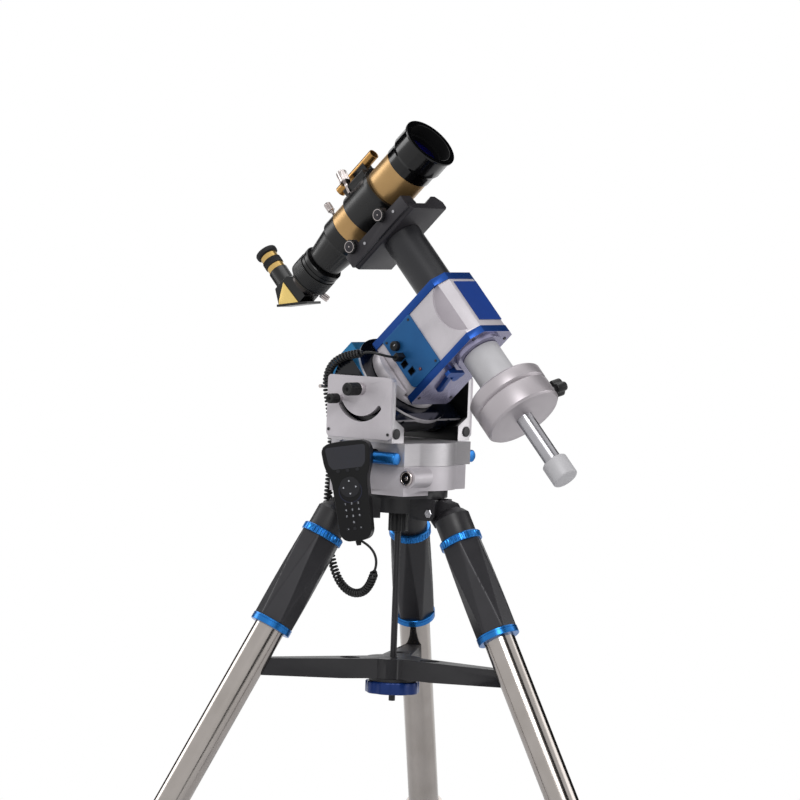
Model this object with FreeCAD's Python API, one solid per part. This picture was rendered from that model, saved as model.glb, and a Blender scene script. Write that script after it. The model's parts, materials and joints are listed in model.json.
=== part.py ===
"""A small gold refractor on a German equatorial mount and folding tripod.

Frame: millimetres, +Z up, origin on the floor below the centre of the tripod. The polar axis lies in the
YZ plane and rises toward -Y. Every sub-part is written to parts/NAME.step where it lies in the assembly.
"""
import FreeCAD, Part
import math
import os

V = FreeCAD.Vector
X_AXIS = V(1, 0, 0)
Y_AXIS = V(0, 1, 0)
Z_AXIS = V(0, 0, 1)

# ---------------------------------------------------------------- fits
RUNNING = 0.05          # radial clearance of shafts, pins and sliding tubes
GAP = 0.3               # gap between moving faces

# ---------------------------------------------------------------- tripod
HEAD_TOP = 717.0        # top face of the tripod head above the floor
HEAD_RADIUS = 78.0
HEAD_THICKNESS = 14.0
HUB_RADIUS = 46.0
HUB_HEIGHT = 26.0
HINGE_RADIUS = 79.0     # leg hinge pins from the tripod's centre
HINGE_DROP = 37.0       # hinge pins below the head's top face
HINGE_PIN_R = 4.0
EAR_RADIUS = 12.0
EAR_THICKNESS = 8.7
LEG_ANGLES = (270, 30, 150)
LEG_TILT = 29.4         # leg from the vertical, degrees
LEG_OFFSET = 24.0       # leg tube axis outward of its hinge
LUG_WIDTH = 26.0
LUG_RADIUS = 11.5
SOCKET_R = 29.0
SOCKET_TOP = -20.0      # heights along the leg are measured from the hinge
SOCKET_BOTTOM = -67.0
TUBE_R = 25.4
TUBE_WALL = 1.6
TUBE_TOP = -30.0
TUBE_BOTTOM = -640.0
RING_R = 34.5
TOP_RING_HEIGHT = 13.0
BOTTOM_RING_HEIGHT = 12.0
GRIP_R = 33.5
GRIP_LENGTH = 154.0
COLLAR_R = 31.0
COLLAR_TOP = -618.0
COLLAR_BOTTOM = -662.0
SLIDER_R = 22.0
SLIDER_TOP = -230.0
SLIDER_BOTTOM = -765.0
BUSHING_HEIGHT = 20.0
FOOT_R = 24.0
FOOT_TIP_R = 20.0
FOOT_SLEEVE = 20.0      # how far the foot covers the inner tube
FOOT_LENGTH = 65.0      # below the inner tube, before the floor cuts it flat
LOCK_STEM_R = 4.0
LOCK_STEM = 12.0
LOCK_HEAD_R = 14.0
LOCK_HEAD = 18.0

# ---------------------------------------------------------------- spreader and centre rod
ROD_R = 5.25
ROD_TOP = 790.0
ROD_TAIL = 13.0         # rod end below the spreader knob
SPREADER_BOTTOM = 409.0
SPREADER_HEIGHT = 32.0
SPREADER_HUB_R = 43.0
ARM_ROOT_WIDTH = 46.0
ARM_TIP_WIDTH = 22.0
ARM_TIP_HEIGHT = 26.0
TRAY_HOLE_R = 16.1
TRAY_HOLE_RADIUS = 75.0  # accessory holes from the centre
SPREADER_WALL = 3.5
KNOB_R = 44.0
KNOB_HEIGHT = 20.0
KNOB_BOSS_R = 38.0
KNOB_BOSS = 5.7
HEAD_NUT_R = 16.0
HEAD_NUT_HEIGHT = 31.0

# ---------------------------------------------------------------- mount base
BASE_R = 90.5
BLOCK_X = 85.0          # half widths of the base block
BLOCK_Y = 76.0
LOWER_BLOCK_RIGHT = 74.0  # the lower block stops short on +X
LOWER_HEIGHT = 39.1
UPPER_HEIGHT = 36.8
SKIRT = 8.0             # lower base skirt below the tripod head's top face
SPIGOT_R = 30.0
SPIGOT_LENGTH = 26.0
ROD_CAVITY_R = 8.0
ADJUSTER_Y = -84.0
ADJUSTER_RISE = 22.0    # adjuster axis above the tripod head
ADJUSTER_R = 16.0
ADJUSTER_LENGTH = 46.0
ADJUSTER_KNOB_R = 12.0
ADJUSTER_KNOB = 4.0
ADJUSTER_STEM_R = 5.0
ADJUSTER_STEM = 26.0
HANDLE_X = 97.0
HANDLE_DROP = 24.2      # handle axis below the upper base's top face
HANDLE_R = 10.0
HANDLE_HALF = 70.7
STANDOFF_Y = 45.0
STANDOFF_R = 6.0
RECESS_DEPTH = 6.0
RECESS_HALF = 64.0

# ---------------------------------------------------------------- fork
ARM_INNER = 93.0
ARM_OUTER = 100.0
ARM_FRONT = -61.0
ARM_REAR = 71.0
ARM_TOP = 897.0
ARM_CORNER = 7.0
FOOT_INNER = 70.0       # inner face of the arms' thick feet
FOOT_INNER_TOP = 817.0
FOOT_OUTER_TOP = 831.0
PLATE_THICKNESS = 5.0
PLATE_BOTTOM = 798.0
PIVOT_Y = 2.0
PIVOT_Z = 877.0
PIVOT_PIN_R = 10.0
SLOT_RADIUS = 48.0
SLOT_WIDTH = 9.0
SLOT_ANGLES = (-33.0, -142.0)
CAP_R = 8.5             # black caps on the front faces of the arms' feet
CAP_THICKNESS = 2.5
CAP_X = 90.0
CAP_Z = 808.0
SCREW_R = 2.5
SCREW_HEAD = 1.6
SCREW_SPOTS = ((-56.0, 807.0), (66.0, 809.0))
CLAMP_BOSS_R = 10.0
CLAMP_BOSS = 9.0
CLAMP_KNOB_R = 10.5
CLAMP_KNOB = 27.0
CLAMP_STUD_R = 5.0
LOCK_KNOB_YZ = (44.0, 859.5)
LOCK_KNOB_R = 8.0
LOCK_KNOB = 20.0
LOCK_STANDOFF = 8.0     # the neck that shows between the plate and the knob
LOCK_NECK_R = 5.0

# ---------------------------------------------------------------- polar head
# Places in the head are (x, s, t): s runs along the declination axis toward the telescope and t along the
# polar axis toward the sky, both measured from the point where the two axes cross.
LATITUDE = 43.5
PIVOT_S = -9.05         # latitude pivot in the head's own frame
PIVOT_T = -158.4
BARREL_R = 72.0
BARREL_HALF = 88.0
CAVITY_R = 65.0
CAVITY_INNER = 28.0
CAVITY_WALL = 6.0
PIN_BOSS_R = 17.0
FLANGE_R = 86.0
FLANGE_REAR = -156.0
FLANGE_FRONT = -148.0
UPPER_BOX_HALF = 62.0
UPPER_BOX_S = 83.0
HOUSING_REAR = PIVOT_T - BARREL_R - 1.6      # just behind the barrel
REAR_ROUND = 20.0
SHAFT_R = 22.0
SHAFT_BORE_R = 12.0
SHAFT_REAR = -225.0
POLAR_CAP_R = 24.0
POLAR_CAP = 8.0
DRUM_R = 62.0
DRUM_FRONT = -128.0
JACK_X = -58.0          # latitude jack screw on the housing's rear face
JACK_S = 74.0
JACK_R = 3.5
JACK_STEM = 12.0
JACK_THREAD = 15.0
JACK_BAR_R = 3.0
JACK_BAR = 22.0

# ---------------------------------------------------------------- declination housing
DEC_REAR = -137.0
DEC_FRONT = 44.0
FLANGE_X = (-44.0, 54.7)
FLANGE_STEP = 2.0       # flanges stand proud of the casting's sides
DEC_INNER = 49.0
DEC_OUTER = 62.0
DEC_CORNER = 18.5       # chamfer along the -X front edge
DEC_CORNER_FAR = (15.5, 8.8)  # and along the +X front edge, across and along t
SEAT_RING_R = 41.0
SEAT_RING = 8.0
DEC_SHAFT_R = 15.0
CRESCENT_R = 54.2
CRESCENT_S = 4.9
CRESCENT_T = 51.7
CRESCENT_TOP = 37.0
CRESCENT_DEPTH = 3.0
MOTOR_BAY = (34.0, 41.0, -26.0)
LABEL = (-17.0, 40.0, -37.0, 43.0)
LABEL_THICKNESS = 1.5
PANEL_REAR = -114.0
PANEL_FRONT = -44.0
PANEL_THICKNESS = 3.0
PANEL_CORNER = 9.0
POWER_KNOB = (26.0, -95.0)
POWER_KNOB_R = 8.0
POWER_KNOB_HEIGHT = 9.0
PLUG = (6.0, -99.0)
SOCKETS = ((-6.0, -102.0), (-24.0, -98.0))
SOCKET_SIZE = (11.0, 13.0)
SOCKET_DEPTH = 8.0
LAMP = (-33.0, -82.0)
LAMP_R = 2.5
LEVER_PIVOT = (-17.0, -53.0)
LEVER_PIVOT_R = 8.0
LEVER_TIP = (-8.0, -98.0)
LEVER_WIDTH = 10.0
LEVER_THICKNESS = 6.0
LEVER_TAB = 6.0
LEVER_HEAD = (-46.0, -6.0, -51.0, -40.0)
LEVER_HEIGHT = 15.0
LEVER_STUD_R = 4.0

# ---------------------------------------------------------------- declination shaft
SLEEVE_R = 32.0
SLEEVE_END = 173.6
SHAFT_COLLAR_R = 31.3
SHAFT_COLLAR_END = -137.0
BAR_R = 14.0
BAR_END = -300.0
BAR_CAP_R = 21.5
BAR_CAP = 37.0
BAR_CAP_SOCKET = 6.0
WEIGHT_R = 64.5
WEIGHT_START = -142.0
WEIGHT_DISCS = (25.0, 38.0)
WEIGHT_CHAMFER = 3.5
WEIGHT_LOCK_S = -174.0
WEIGHT_LOCK_ANGLE = 24.0
WEIGHT_LOCK_R = 5.0
WEIGHT_LOCK_NECK = 13.5
WEIGHT_LOCK_HEAD_R = 15.0
WEIGHT_LOCK_HEAD = 20.0
SADDLE_X = (-43.0, 50.0)
SADDLE_TOP = 200.8
SADDLE_REAR = -79.0
SADDLE_FRONT = 71.0
SADDLE_CORNER = 4.0
SADDLE_CORNER_FAR = 12.0
GROOVE_DEPTH = 15.0
GROOVE_TOP = (-25.0, 28.0)
GROOVE_FLOOR = (-21.0, 2.0)
FOOT_HEIGHT = 20.0
FOOT_REAR = -50.0
FOOT_FRONT = 44.0
JAW_THICKNESS = 7.0
JAW_BOTTOM = 178.0
JAW_LUG_TOP = 212.5
JAW_LUG_HALF = 11.0
JAW_KNOB_S = 204.4
JAW_KNOBS = (19.6, -58.0)
JAW_KNOB_R = 9.0
JAW_KNOB = 8.0

# ---------------------------------------------------------------- optical tube
# Places on the tube are (radius, t); its axis stands TUBE_S above the crossing of the mount's axes.
TUBE_S = 251.0
OTA_R = 40.0
OTA_WALL = 3.0
OTA_REAR = -70.0
OTA_FRONT = 100.0
CLAM_R = 44.0
CLAM_REAR = -36.0
CLAM_FRONT = 30.0
CLAM_RIM_R = 46.0
CLAM_RIM = 8.0
LUG_HALF = 20.0
LUG_TOP = 52.0
DEW_REAR = 83.0
DEW_NECK_R = 41.5
DEW_R = 45.0
DEW_STEP = 108.0
DEW_RIM_R = 47.5
DEW_RIM = 3.3
DEW_FRONT = 143.0
DEW_BORE_R = 38.0
LENS_REAR = 106.0
LENS_THICKNESS = 8.0
LENS_BULGE = 4.0
RETAINER = 4.0
RETAINER_BORE_R = 34.0
CELL_BAND = 25.0
CELL_SPIGOT = 10.0
CELL_TAPER_END = -145.0
CELL_TAPER_R = 30.0
CELL_NECK_R = 24.0
CELL_NECK_END = -190.0
FOCUS_R = 35.0
FOCUS_FRONT = -150.0
FOCUS_REAR = -195.0
FOCUS_GROOVES = (-158.0, -166.0, -186.0)
DRAW_R = 20.0
DRAW_BORE_R = 15.85
DRAW_FRONT = -122.0
DRAW_COLLAR_R = 24.0
DRAW_COLLAR = (-204.7, -196.0)
DIAGONAL_HALF = 18.0
DIAGONAL_OUTLINE = ((-205.0, -24.0), (-205.0, 17.0), (-214.0, 26.0), (-246.0, 26.0), (-257.0, 2.0),
                    (-221.0, -24.0))
COVER_OUTLINE = ((-225.0, 22.0), (-222.0, -23.0), (-256.0, 1.0), (-252.0, 5.0))
COVER_THICKNESS = 1.4
DIAGONAL_PLATE = 4.0
DIAGONAL_PLATE_OVERHANG = 4.0
DIAGONAL_NOSE_END = -188.0
EYEPIECE_T = -233.0
HOLDER_R = 16.0
HOLDER_TOP = 54.0
EYEPIECE_SPIGOT_R = 12.25
EYEPIECE_SPIGOT = 26.0
EYEPIECE_BAND_R = 14.5
EYECUP_R = 18.5
EYEPIECE_STEPS = (10.0, 12.0, 10.0, 9.0)
DRAW_SCREW_DIRECTION = (0.63, -0.78)
DRAW_SCREW_R = 2.5
DRAW_SCREW_T = -201.0
DRAW_SCREW_NECK = 31.0
DRAW_SCREW_HEAD_R = 5.5
DRAW_SCREW_HEAD = 15.0
FINDER_X = 14.0
FINDER_S = 72.0
FINDER_R = 8.8
FINDER_BORE_R = 7.4
FINDER_REAR = -57.0
FINDER_FRONT = 36.0
FINDER_POST = 14.0
THUMB_START = 37.0
# Thumbscrews: t, x where the head begins, tilt toward +X, stem radius, head radius, head from, head to
RING_SCREW = (-22.0, -15.4, 17.0, 3.0, 9.0, 60.0, 82.0)
CELL_SCREW = (-80.0, -5.0, 0.0, 2.5, 6.0, 50.0, 66.0)

# ---------------------------------------------------------------- handset
HANDSET_OUT = 144.0     # its middle: out along -X, forward along -Y and up from the floor
HANDSET_FORWARD = 19.0
HANDSET_UP = 717.0
HANDSET_YAW = 26.0      # face turned from -X toward -Y
HANDSET_LEAN = 9.5
HANDSET_LENGTH = 160.0
HANDSET_HEAD_WIDTH = 80.0
HANDSET_HEAD = 40.0
HANDSET_SHOULDER = 22.0
HANDSET_GRIP_WIDTH = 58.0
HANDSET_THICKNESS = 24.0
WINDOW = (-20.0, 26.0, 54.0, 70.0)
WINDOW_DEPTH = 1.5
KEY_HEIGHT = 1.6
KEY_DEPTH = 3.0
KEY_TRAVEL = 1.0
KEY_R = 3.2
KEY_PITCH = 10.5
KEY_ROWS = (-20.0, -30.0, -40.0, -60.0)
LONE_KEY_W = -50.0
SOFT_KEYS_W = 33.0
ARROW_PAD_W = 6.0
ARROW_PAD_R = 17.0
HOOK_WIDTH = 24.0
HOOK_WALL = 3.5

# ---------------------------------------------------------------- cord
LEAD_R = 2.25
PLUG_CLEARANCE = 0.9     # the lead starts this far off the slanted face of the plug
COIL_CLEARANCE = 0.6
COIL_R = 7.5
PLUG_SIZE = (10.0, 13.0, 17.0)
LEAD_ROUTE = (V(-72, -30, 929.4), V(-85, -27, 931.5), V(-95, -20, 934.5), V(-99.2, -7.8, 936.3))
COIL_ROUTE = (V(-99, 4, 934.2), V(-99, 26, 931), V(-99.5, 48, 925), V(-97.5, 68, 914), V(-91.5, 83.5, 896.5),
              V(-83.5, 91, 873), V(-75, 88.5, 838), V(-69, 87, 790), V(-69, 89.5, 732), V(-71, 92, 672),
              V(-69.5, 86, 612), V(-72, 63, 562), V(-79, 24, 543), V(-91, -20, 557), V(-105, -40, 590))
TAIL_ROUTE = (V(-109.1, -45.8, 599.6), V(-114.7, -49.1, 610.9), V(-121.4, -48, 622.5),
              V(-130.5, -41.3, 633.5))
CORD_INSERT = 2.0       # how far the cord's end is held in the handset

# ---------------------------------------------------------------- derived places
HINGE_Z = HEAD_TOP - HINGE_DROP
HEAD_BOTTOM = HEAD_TOP - HEAD_THICKNESS
HUB_BOTTOM = HEAD_BOTTOM - HUB_HEIGHT
SPREADER_TOP = SPREADER_BOTTOM + SPREADER_HEIGHT
KNOB_BOTTOM = SPREADER_BOTTOM - GAP - KNOB_BOSS - KNOB_HEIGHT
LOWER_TOP = HEAD_TOP + LOWER_HEIGHT
UPPER_BOTTOM = LOWER_TOP + GAP
UPPER_TOP = UPPER_BOTTOM + UPPER_HEIGHT
HANDLE_Z = UPPER_TOP - HANDLE_DROP
ADJUSTER_Z = HEAD_TOP + ADJUSTER_RISE
PIVOT = V(0, PIVOT_Y, PIVOT_Z)
POLAR = V(0, -math.cos(math.radians(LATITUDE)), math.sin(math.radians(LATITUDE)))
DEC = V(0, math.sin(math.radians(LATITUDE)), math.cos(math.radians(LATITUDE)))
CROSSING = PIVOT - DEC * PIVOT_S - POLAR * PIVOT_T
HEAD_FRAME = FreeCAD.Placement(CROSSING, FreeCAD.Rotation(X_AXIS, 90 - LATITUDE))

nodes = {}


# ---------------------------------------------------------------- helpers
def node(name, *solids):
    """Keep one named sub-part, made of one solid or of a group of separate solids."""
    nodes[name] = solids[0] if len(solids) == 1 else Part.makeCompound(list(solids))


def rod(radius, start, end):
    """A solid cylinder between two points."""
    return Part.makeCylinder(radius, (end - start).Length, start, end - start)


def pipe(outer, inner, start, end):
    return rod(outer, start, end).cut(rod(inner, start, end))


def box(x, y, z):
    """A block from its (low, high) pair along each axis."""
    return Part.makeBox(x[1] - x[0], y[1] - y[0], z[1] - z[0], V(x[0], y[0], z[0]))


def extruded(points, direction):
    return Part.Face(Part.makePolygon(list(points) + [points[0]])).extrude(direction)


def fused(first, *others):
    return first.fuse(list(others)).removeSplitter()


def moved(shape, placement):
    """The shape with the placement baked into its geometry."""
    return shape.transformed(placement.toMatrix(), copy=True)


def facing(origin, direction):
    """A placement whose +Z points along a direction."""
    return FreeCAD.Placement(origin, FreeCAD.Rotation(Z_AXIS, direction))


def turned(profile, origin=V(0, 0, 0), direction=Z_AXIS):
    """A solid of revolution from a closed outline of (radius, height along the direction)."""
    outline = [V(radius, 0, height) for radius, height in profile]
    face = Part.Face(Part.makePolygon(outline + outline[:1]))
    return moved(face.revolve(V(0, 0, 0), Z_AXIS, 360), facing(origin, direction))


def rounded(solid, radius, direction):
    """The solid with the straight edges that run along a direction filleted."""
    edges = [e for e in solid.Edges if e.Curve.TypeId == "Part::GeomLine"
             and abs(e.tangentAt(e.FirstParameter).dot(direction)) > 0.999]
    return solid.makeFillet(radius, edges)


def in_head(*solids):
    """Solids drawn in (x, s, t), moved to where the head carries them."""
    return [moved(solid, HEAD_FRAME) for solid in solids]


def knob(radius, height, origin, direction, edge=1.2):
    """A round knob with a small chamfer on both edges."""
    return turned([(0, 0), (radius - edge, 0), (radius, edge), (radius, height - edge),
                   (radius - edge, height), (0, height)], origin, direction)


# ---------------------------------------------------------------- tripod
def make_tripod_head():
    """The head casting with three pairs of ears, and the hinge pins held in them."""
    head = fused(rod(HEAD_RADIUS, V(0, 0, HEAD_BOTTOM), V(0, 0, HEAD_TOP)),
                 rod(HUB_RADIUS, V(0, 0, HUB_BOTTOM), V(0, 0, HEAD_BOTTOM)))
    ears, holes, pins = [], [], []
    inner = LUG_WIDTH / 2 + GAP
    outer = inner + EAR_THICKNESS
    for angle in LEG_ANGLES:
        turn = FreeCAD.Placement(V(0, 0, 0), FreeCAD.Rotation(Z_AXIS, angle))
        for side in (-1, 1):
            y = sorted((side * inner, side * outer))
            end = V(HINGE_RADIUS, y[0], HINGE_Z)
            ear = fused(rod(EAR_RADIUS, end, end + Y_AXIS * EAR_THICKNESS),
                        box((HUB_RADIUS - 6, HINGE_RADIUS), y, (HINGE_Z - EAR_RADIUS, HEAD_BOTTOM)),
                        box((HUB_RADIUS - 6, HINGE_RADIUS + EAR_RADIUS), y, (HINGE_Z, HEAD_BOTTOM)))
            ears.append(moved(ear, turn))
        hinge = (V(HINGE_RADIUS, -outer, HINGE_Z), V(HINGE_RADIUS, outer, HINGE_Z))
        pins.append(moved(rod(HINGE_PIN_R, *hinge), turn))
    head = fused(head, *ears)
    for pin in pins:
        head = head.cut(pin)
    head = head.cut(rod(ROD_R + RUNNING, V(0, 0, HUB_BOTTOM), V(0, 0, HEAD_TOP)))
    node("tripod_head", head, *pins)


def leg_frame(angle):
    """A leg's own frame: origin on the hinge, +X outward, +Y along the pin, +Z up the leg."""
    away = math.radians(angle)
    hinge = V(HINGE_RADIUS * math.cos(away), HINGE_RADIUS * math.sin(away), HINGE_Z)
    turn = FreeCAD.Rotation(Z_AXIS, angle).multiply(FreeCAD.Rotation(Y_AXIS, -LEG_TILT))
    return FreeCAD.Placement(hinge, turn)


def on_leg(height):
    """A point on the leg tube's axis in the leg's frame."""
    return V(LEG_OFFSET, 0, height)


def make_bracket():
    """The black elbow: a lug on the hinge pin that runs into the tube's socket."""
    half = LUG_WIDTH / 2
    crown = LEG_OFFSET / 2 + 2
    socket = turned([(0, SOCKET_BOTTOM), (SOCKET_R, SOCKET_BOTTOM), (SOCKET_R, SOCKET_TOP),
                     (SOCKET_R - 6.5, SOCKET_TOP + 8), (crown, SOCKET_TOP + 14), (0, SOCKET_TOP + 14)],
                    V(LEG_OFFSET, 0, 0))
    lug = extruded([V(x, -half, z) for x, z in
                    ((-9, -7), (-5, SOCKET_TOP - 4), (LEG_OFFSET + 6, SOCKET_TOP - 4),
                     (LEG_OFFSET + 15, SOCKET_TOP + 8), (LEG_OFFSET + 13, 0), (LEG_OFFSET, 12), (7, 10))],
                   Y_AXIS * LUG_WIDTH)
    eye = rod(LUG_RADIUS, V(0, -half, 0), V(0, half, 0))
    bracket = fused(socket, lug, eye)
    bracket = bracket.cut(rod(TUBE_R, on_leg(SOCKET_BOTTOM), on_leg(TUBE_TOP)))
    return bracket.cut(rod(HINGE_PIN_R + RUNNING, V(0, -half, 0), V(0, half, 0)))


def make_collar():
    """The clamp collar that closes the leg tube and guides the inner tube."""
    collar = pipe(COLLAR_R, SLIDER_R + RUNNING, on_leg(COLLAR_BOTTOM), on_leg(COLLAR_TOP))
    return collar.cut(rod(TUBE_R, on_leg(TUBE_BOTTOM), on_leg(COLLAR_TOP)))


def lock_height():
    return (TUBE_BOTTOM + COLLAR_BOTTOM) / 2


def make_leg(number, angle):
    place = leg_frame(angle)
    grip_top = SOCKET_BOTTOM
    grip_bottom = grip_top - GRIP_LENGTH
    tube = pipe(TUBE_R, TUBE_R - TUBE_WALL, on_leg(TUBE_BOTTOM), on_leg(TUBE_TOP))
    stem_start = V(LEG_OFFSET + SLIDER_R + GAP, 0, lock_height())
    stem_end = V(LEG_OFFSET + COLLAR_R + LOCK_STEM, 0, lock_height())
    collar = make_collar().cut(rod(LOCK_STEM_R + RUNNING, stem_start - X_AXIS, stem_end))
    node(f"leg_{number}_frame", *[moved(s, place) for s in (make_bracket(), tube, collar)])

    grip = pipe(GRIP_R, TUBE_R, on_leg(grip_bottom), on_leg(grip_top))
    top_ring = pipe(RING_R, SOCKET_R, on_leg(grip_top), on_leg(grip_top + TOP_RING_HEIGHT))
    bottom_ring = pipe(RING_R, TUBE_R, on_leg(grip_bottom - BOTTOM_RING_HEIGHT), on_leg(grip_bottom))
    node(f"leg_{number}_grip", *[moved(s, place) for s in (grip, top_ring, bottom_ring)])

    inner = pipe(SLIDER_R, SLIDER_R - TUBE_WALL, on_leg(SLIDER_BOTTOM), on_leg(SLIDER_TOP))
    bushing_r = TUBE_R - TUBE_WALL - RUNNING
    bushing = pipe(bushing_r, SLIDER_R, on_leg(SLIDER_TOP - BUSHING_HEIGHT), on_leg(SLIDER_TOP))
    foot = turned([(0, SLIDER_BOTTOM), (SLIDER_R, SLIDER_BOTTOM), (SLIDER_R, SLIDER_BOTTOM + FOOT_SLEEVE),
                   (FOOT_R, SLIDER_BOTTOM + FOOT_SLEEVE), (FOOT_R, SLIDER_BOTTOM - 10),
                   (FOOT_TIP_R, SLIDER_BOTTOM - FOOT_LENGTH), (0, SLIDER_BOTTOM - FOOT_LENGTH)],
                  V(LEG_OFFSET, 0, 0))
    inner, bushing, foot = [moved(s, place) for s in (inner, bushing, foot)]
    reach = HEAD_TOP + HINGE_RADIUS
    foot = foot.cut(box((-reach, reach), (-reach, reach), (-reach, 0)))
    node(f"leg_{number}_slider", inner, bushing, foot)

    lock = fused(rod(LOCK_STEM_R, stem_start, stem_end), knob(LOCK_HEAD_R, LOCK_HEAD, stem_end, X_AXIS))
    node(f"leg_{number}_lock", moved(lock, place))


def make_spreader():
    """The three-armed brace on the centre rod, hollow from below, with an accessory hole in each arm."""
    bottom = V(0, 0, SPREADER_BOTTOM)
    top = V(0, 0, SPREADER_TOP)
    spreader = rod(SPREADER_HUB_R, bottom, top)
    reach = HINGE_RADIUS + LEG_OFFSET + (HINGE_Z - SPREADER_BOTTOM) * math.tan(math.radians(LEG_TILT))
    pocket_start = TRAY_HOLE_RADIUS + TRAY_HOLE_R + SPREADER_WALL
    pocket_end = reach - 2.2 * TUBE_R - SPREADER_WALL
    slope = (ARM_ROOT_WIDTH - ARM_TIP_WIDTH) / 2 / (reach - SPREADER_HUB_R)

    def half_width(radius):
        return ARM_ROOT_WIDTH / 2 - slope * (radius - SPREADER_HUB_R)

    for angle in LEG_ANGLES:
        turn = FreeCAD.Placement(V(0, 0, 0), FreeCAD.Rotation(Z_AXIS, angle))
        arm = extruded([V(0, -half_width(0), SPREADER_BOTTOM), V(reach, -half_width(reach), SPREADER_BOTTOM),
                        V(reach, half_width(reach), SPREADER_BOTTOM), V(0, half_width(0), SPREADER_BOTTOM)],
                       Z_AXIS * SPREADER_HEIGHT)
        side = extruded([V(0, -ARM_ROOT_WIDTH, SPREADER_TOP), V(0, -ARM_ROOT_WIDTH, SPREADER_BOTTOM),
                         V(pocket_start, -ARM_ROOT_WIDTH, SPREADER_BOTTOM),
                         V(reach, -ARM_ROOT_WIDTH, SPREADER_TOP - ARM_TIP_HEIGHT),
                         V(reach, -ARM_ROOT_WIDTH, SPREADER_TOP)], Y_AXIS * 2 * ARM_ROOT_WIDTH)
        arm = arm.common(side)
        inner = [(pocket_start, -1), (pocket_end, -1), (pocket_end, 1), (pocket_start, 1)]
        pocket = extruded([V(r, side * (half_width(r) - SPREADER_WALL), SPREADER_BOTTOM)
                           for r, side in inner], Z_AXIS * (SPREADER_HEIGHT - SPREADER_WALL))
        hole = rod(TRAY_HOLE_R, V(TRAY_HOLE_RADIUS, 0, SPREADER_BOTTOM), V(TRAY_HOLE_RADIUS, 0, SPREADER_TOP))
        spreader = spreader.fuse(moved(arm, turn)).cut([moved(pocket, turn), moved(hole, turn)])
    for angle in LEG_ANGLES:
        clearance = rod(TUBE_R + GAP, on_leg(TUBE_BOTTOM), on_leg(0))
        beyond = rod(TUBE_R + GAP, on_leg(TUBE_BOTTOM) + X_AXIS * TUBE_R, on_leg(0) + X_AXIS * TUBE_R)
        for cutter in (clearance, beyond):
            spreader = spreader.cut(moved(cutter, leg_frame(angle)))
    spreader = spreader.removeSplitter()
    node("spreader", spreader.cut(rod(ROD_R, bottom, top)))


def make_centre_rod():
    node("centre_rod", rod(ROD_R, V(0, 0, KNOB_BOTTOM - ROD_TAIL), V(0, 0, ROD_TOP)))
    wheel = fused(knob(KNOB_R, KNOB_HEIGHT, V(0, 0, KNOB_BOTTOM), Z_AXIS, 2.0),
                  knob(KNOB_BOSS_R, KNOB_BOSS + 1, V(0, 0, KNOB_BOTTOM + KNOB_HEIGHT - 1), Z_AXIS, 0.8))
    node("spreader_knob", wheel.cut(rod(ROD_R + RUNNING, V(0, 0, KNOB_BOTTOM), V(0, 0, SPREADER_BOTTOM))))
    nut_top = HUB_BOTTOM - GAP
    nut = knob(HEAD_NUT_R, HEAD_NUT_HEIGHT, V(0, 0, nut_top - HEAD_NUT_HEIGHT), Z_AXIS)
    node("head_nut", nut.cut(rod(ROD_R + RUNNING, V(0, 0, nut_top - HEAD_NUT_HEIGHT), V(0, 0, nut_top))))


# ---------------------------------------------------------------- mount base
def base_plan(bottom, top, right=BLOCK_X):
    """The base outline, a drum with a block across it, between two heights."""
    return fused(rod(BASE_R, V(0, 0, bottom), V(0, 0, top)),
                 box((-BLOCK_X, right), (-BLOCK_Y, BLOCK_Y), (bottom, top)))


def make_lower_base():
    skirt = box((-BLOCK_X, 0), (-BLOCK_Y, BLOCK_Y), (HEAD_TOP - SKIRT, HEAD_TOP))
    skirt = skirt.cut(rod(HEAD_RADIUS + 1, V(0, 0, HEAD_TOP - SKIRT), V(0, 0, HEAD_TOP)))
    adjuster = V(-BLOCK_X - 1, ADJUSTER_Y, ADJUSTER_Z)
    barrel = rod(ADJUSTER_R, adjuster, adjuster + X_AXIS * ADJUSTER_LENGTH)
    base = fused(base_plan(HEAD_TOP, LOWER_TOP, LOWER_BLOCK_RIGHT), skirt, barrel)
    spigot_floor = LOWER_TOP - SPIGOT_LENGTH - 2 * GAP
    base = base.cut([rod(SPIGOT_R + RUNNING, V(0, 0, spigot_floor), V(0, 0, LOWER_TOP)),
                     rod(ROD_CAVITY_R, V(0, 0, HEAD_TOP), V(0, 0, spigot_floor)),
                     rod(ADJUSTER_STEM_R + RUNNING, adjuster, adjuster + X_AXIS * (ADJUSTER_STEM + GAP))])
    node("lower_base", base)
    stem = rod(ADJUSTER_STEM_R, adjuster - X_AXIS * GAP, adjuster + X_AXIS * ADJUSTER_STEM)
    wheel = knob(ADJUSTER_KNOB_R, ADJUSTER_KNOB, adjuster - X_AXIS * GAP, -X_AXIS, 0.6)
    node("azimuth_knob", fused(wheel, stem))


def arm_half(side):
    """One fork arm with its thick foot; side is -1 or 1."""
    arm = box(sorted((side * ARM_INNER, side * ARM_OUTER)), (ARM_FRONT, ARM_REAR), (UPPER_TOP, ARM_TOP))
    top_edges = [e for e in arm.Edges if abs(e.tangentAt(e.FirstParameter).x) > 0.99
                 and e.CenterOfMass.z > ARM_TOP - 1]
    arm = arm.makeFillet(ARM_CORNER, top_edges)
    foot = extruded([V(side * x, ARM_FRONT, z) for x, z in
                     ((FOOT_INNER, UPPER_TOP), (ARM_OUTER, UPPER_TOP), (ARM_OUTER, FOOT_OUTER_TOP),
                      (ARM_INNER, FOOT_OUTER_TOP), (FOOT_INNER, FOOT_INNER_TOP))],
                    Y_AXIS * (ARM_REAR - ARM_FRONT))
    pin = rod(PIVOT_PIN_R, PIVOT + X_AXIS * side * FOOT_INNER, PIVOT + X_AXIS * side * ARM_INNER)
    scoop = rod(BARREL_R + 1, PIVOT, PIVOT + X_AXIS * side * ARM_INNER)
    return fused(arm, foot.cut(scoop), pin)


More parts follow.
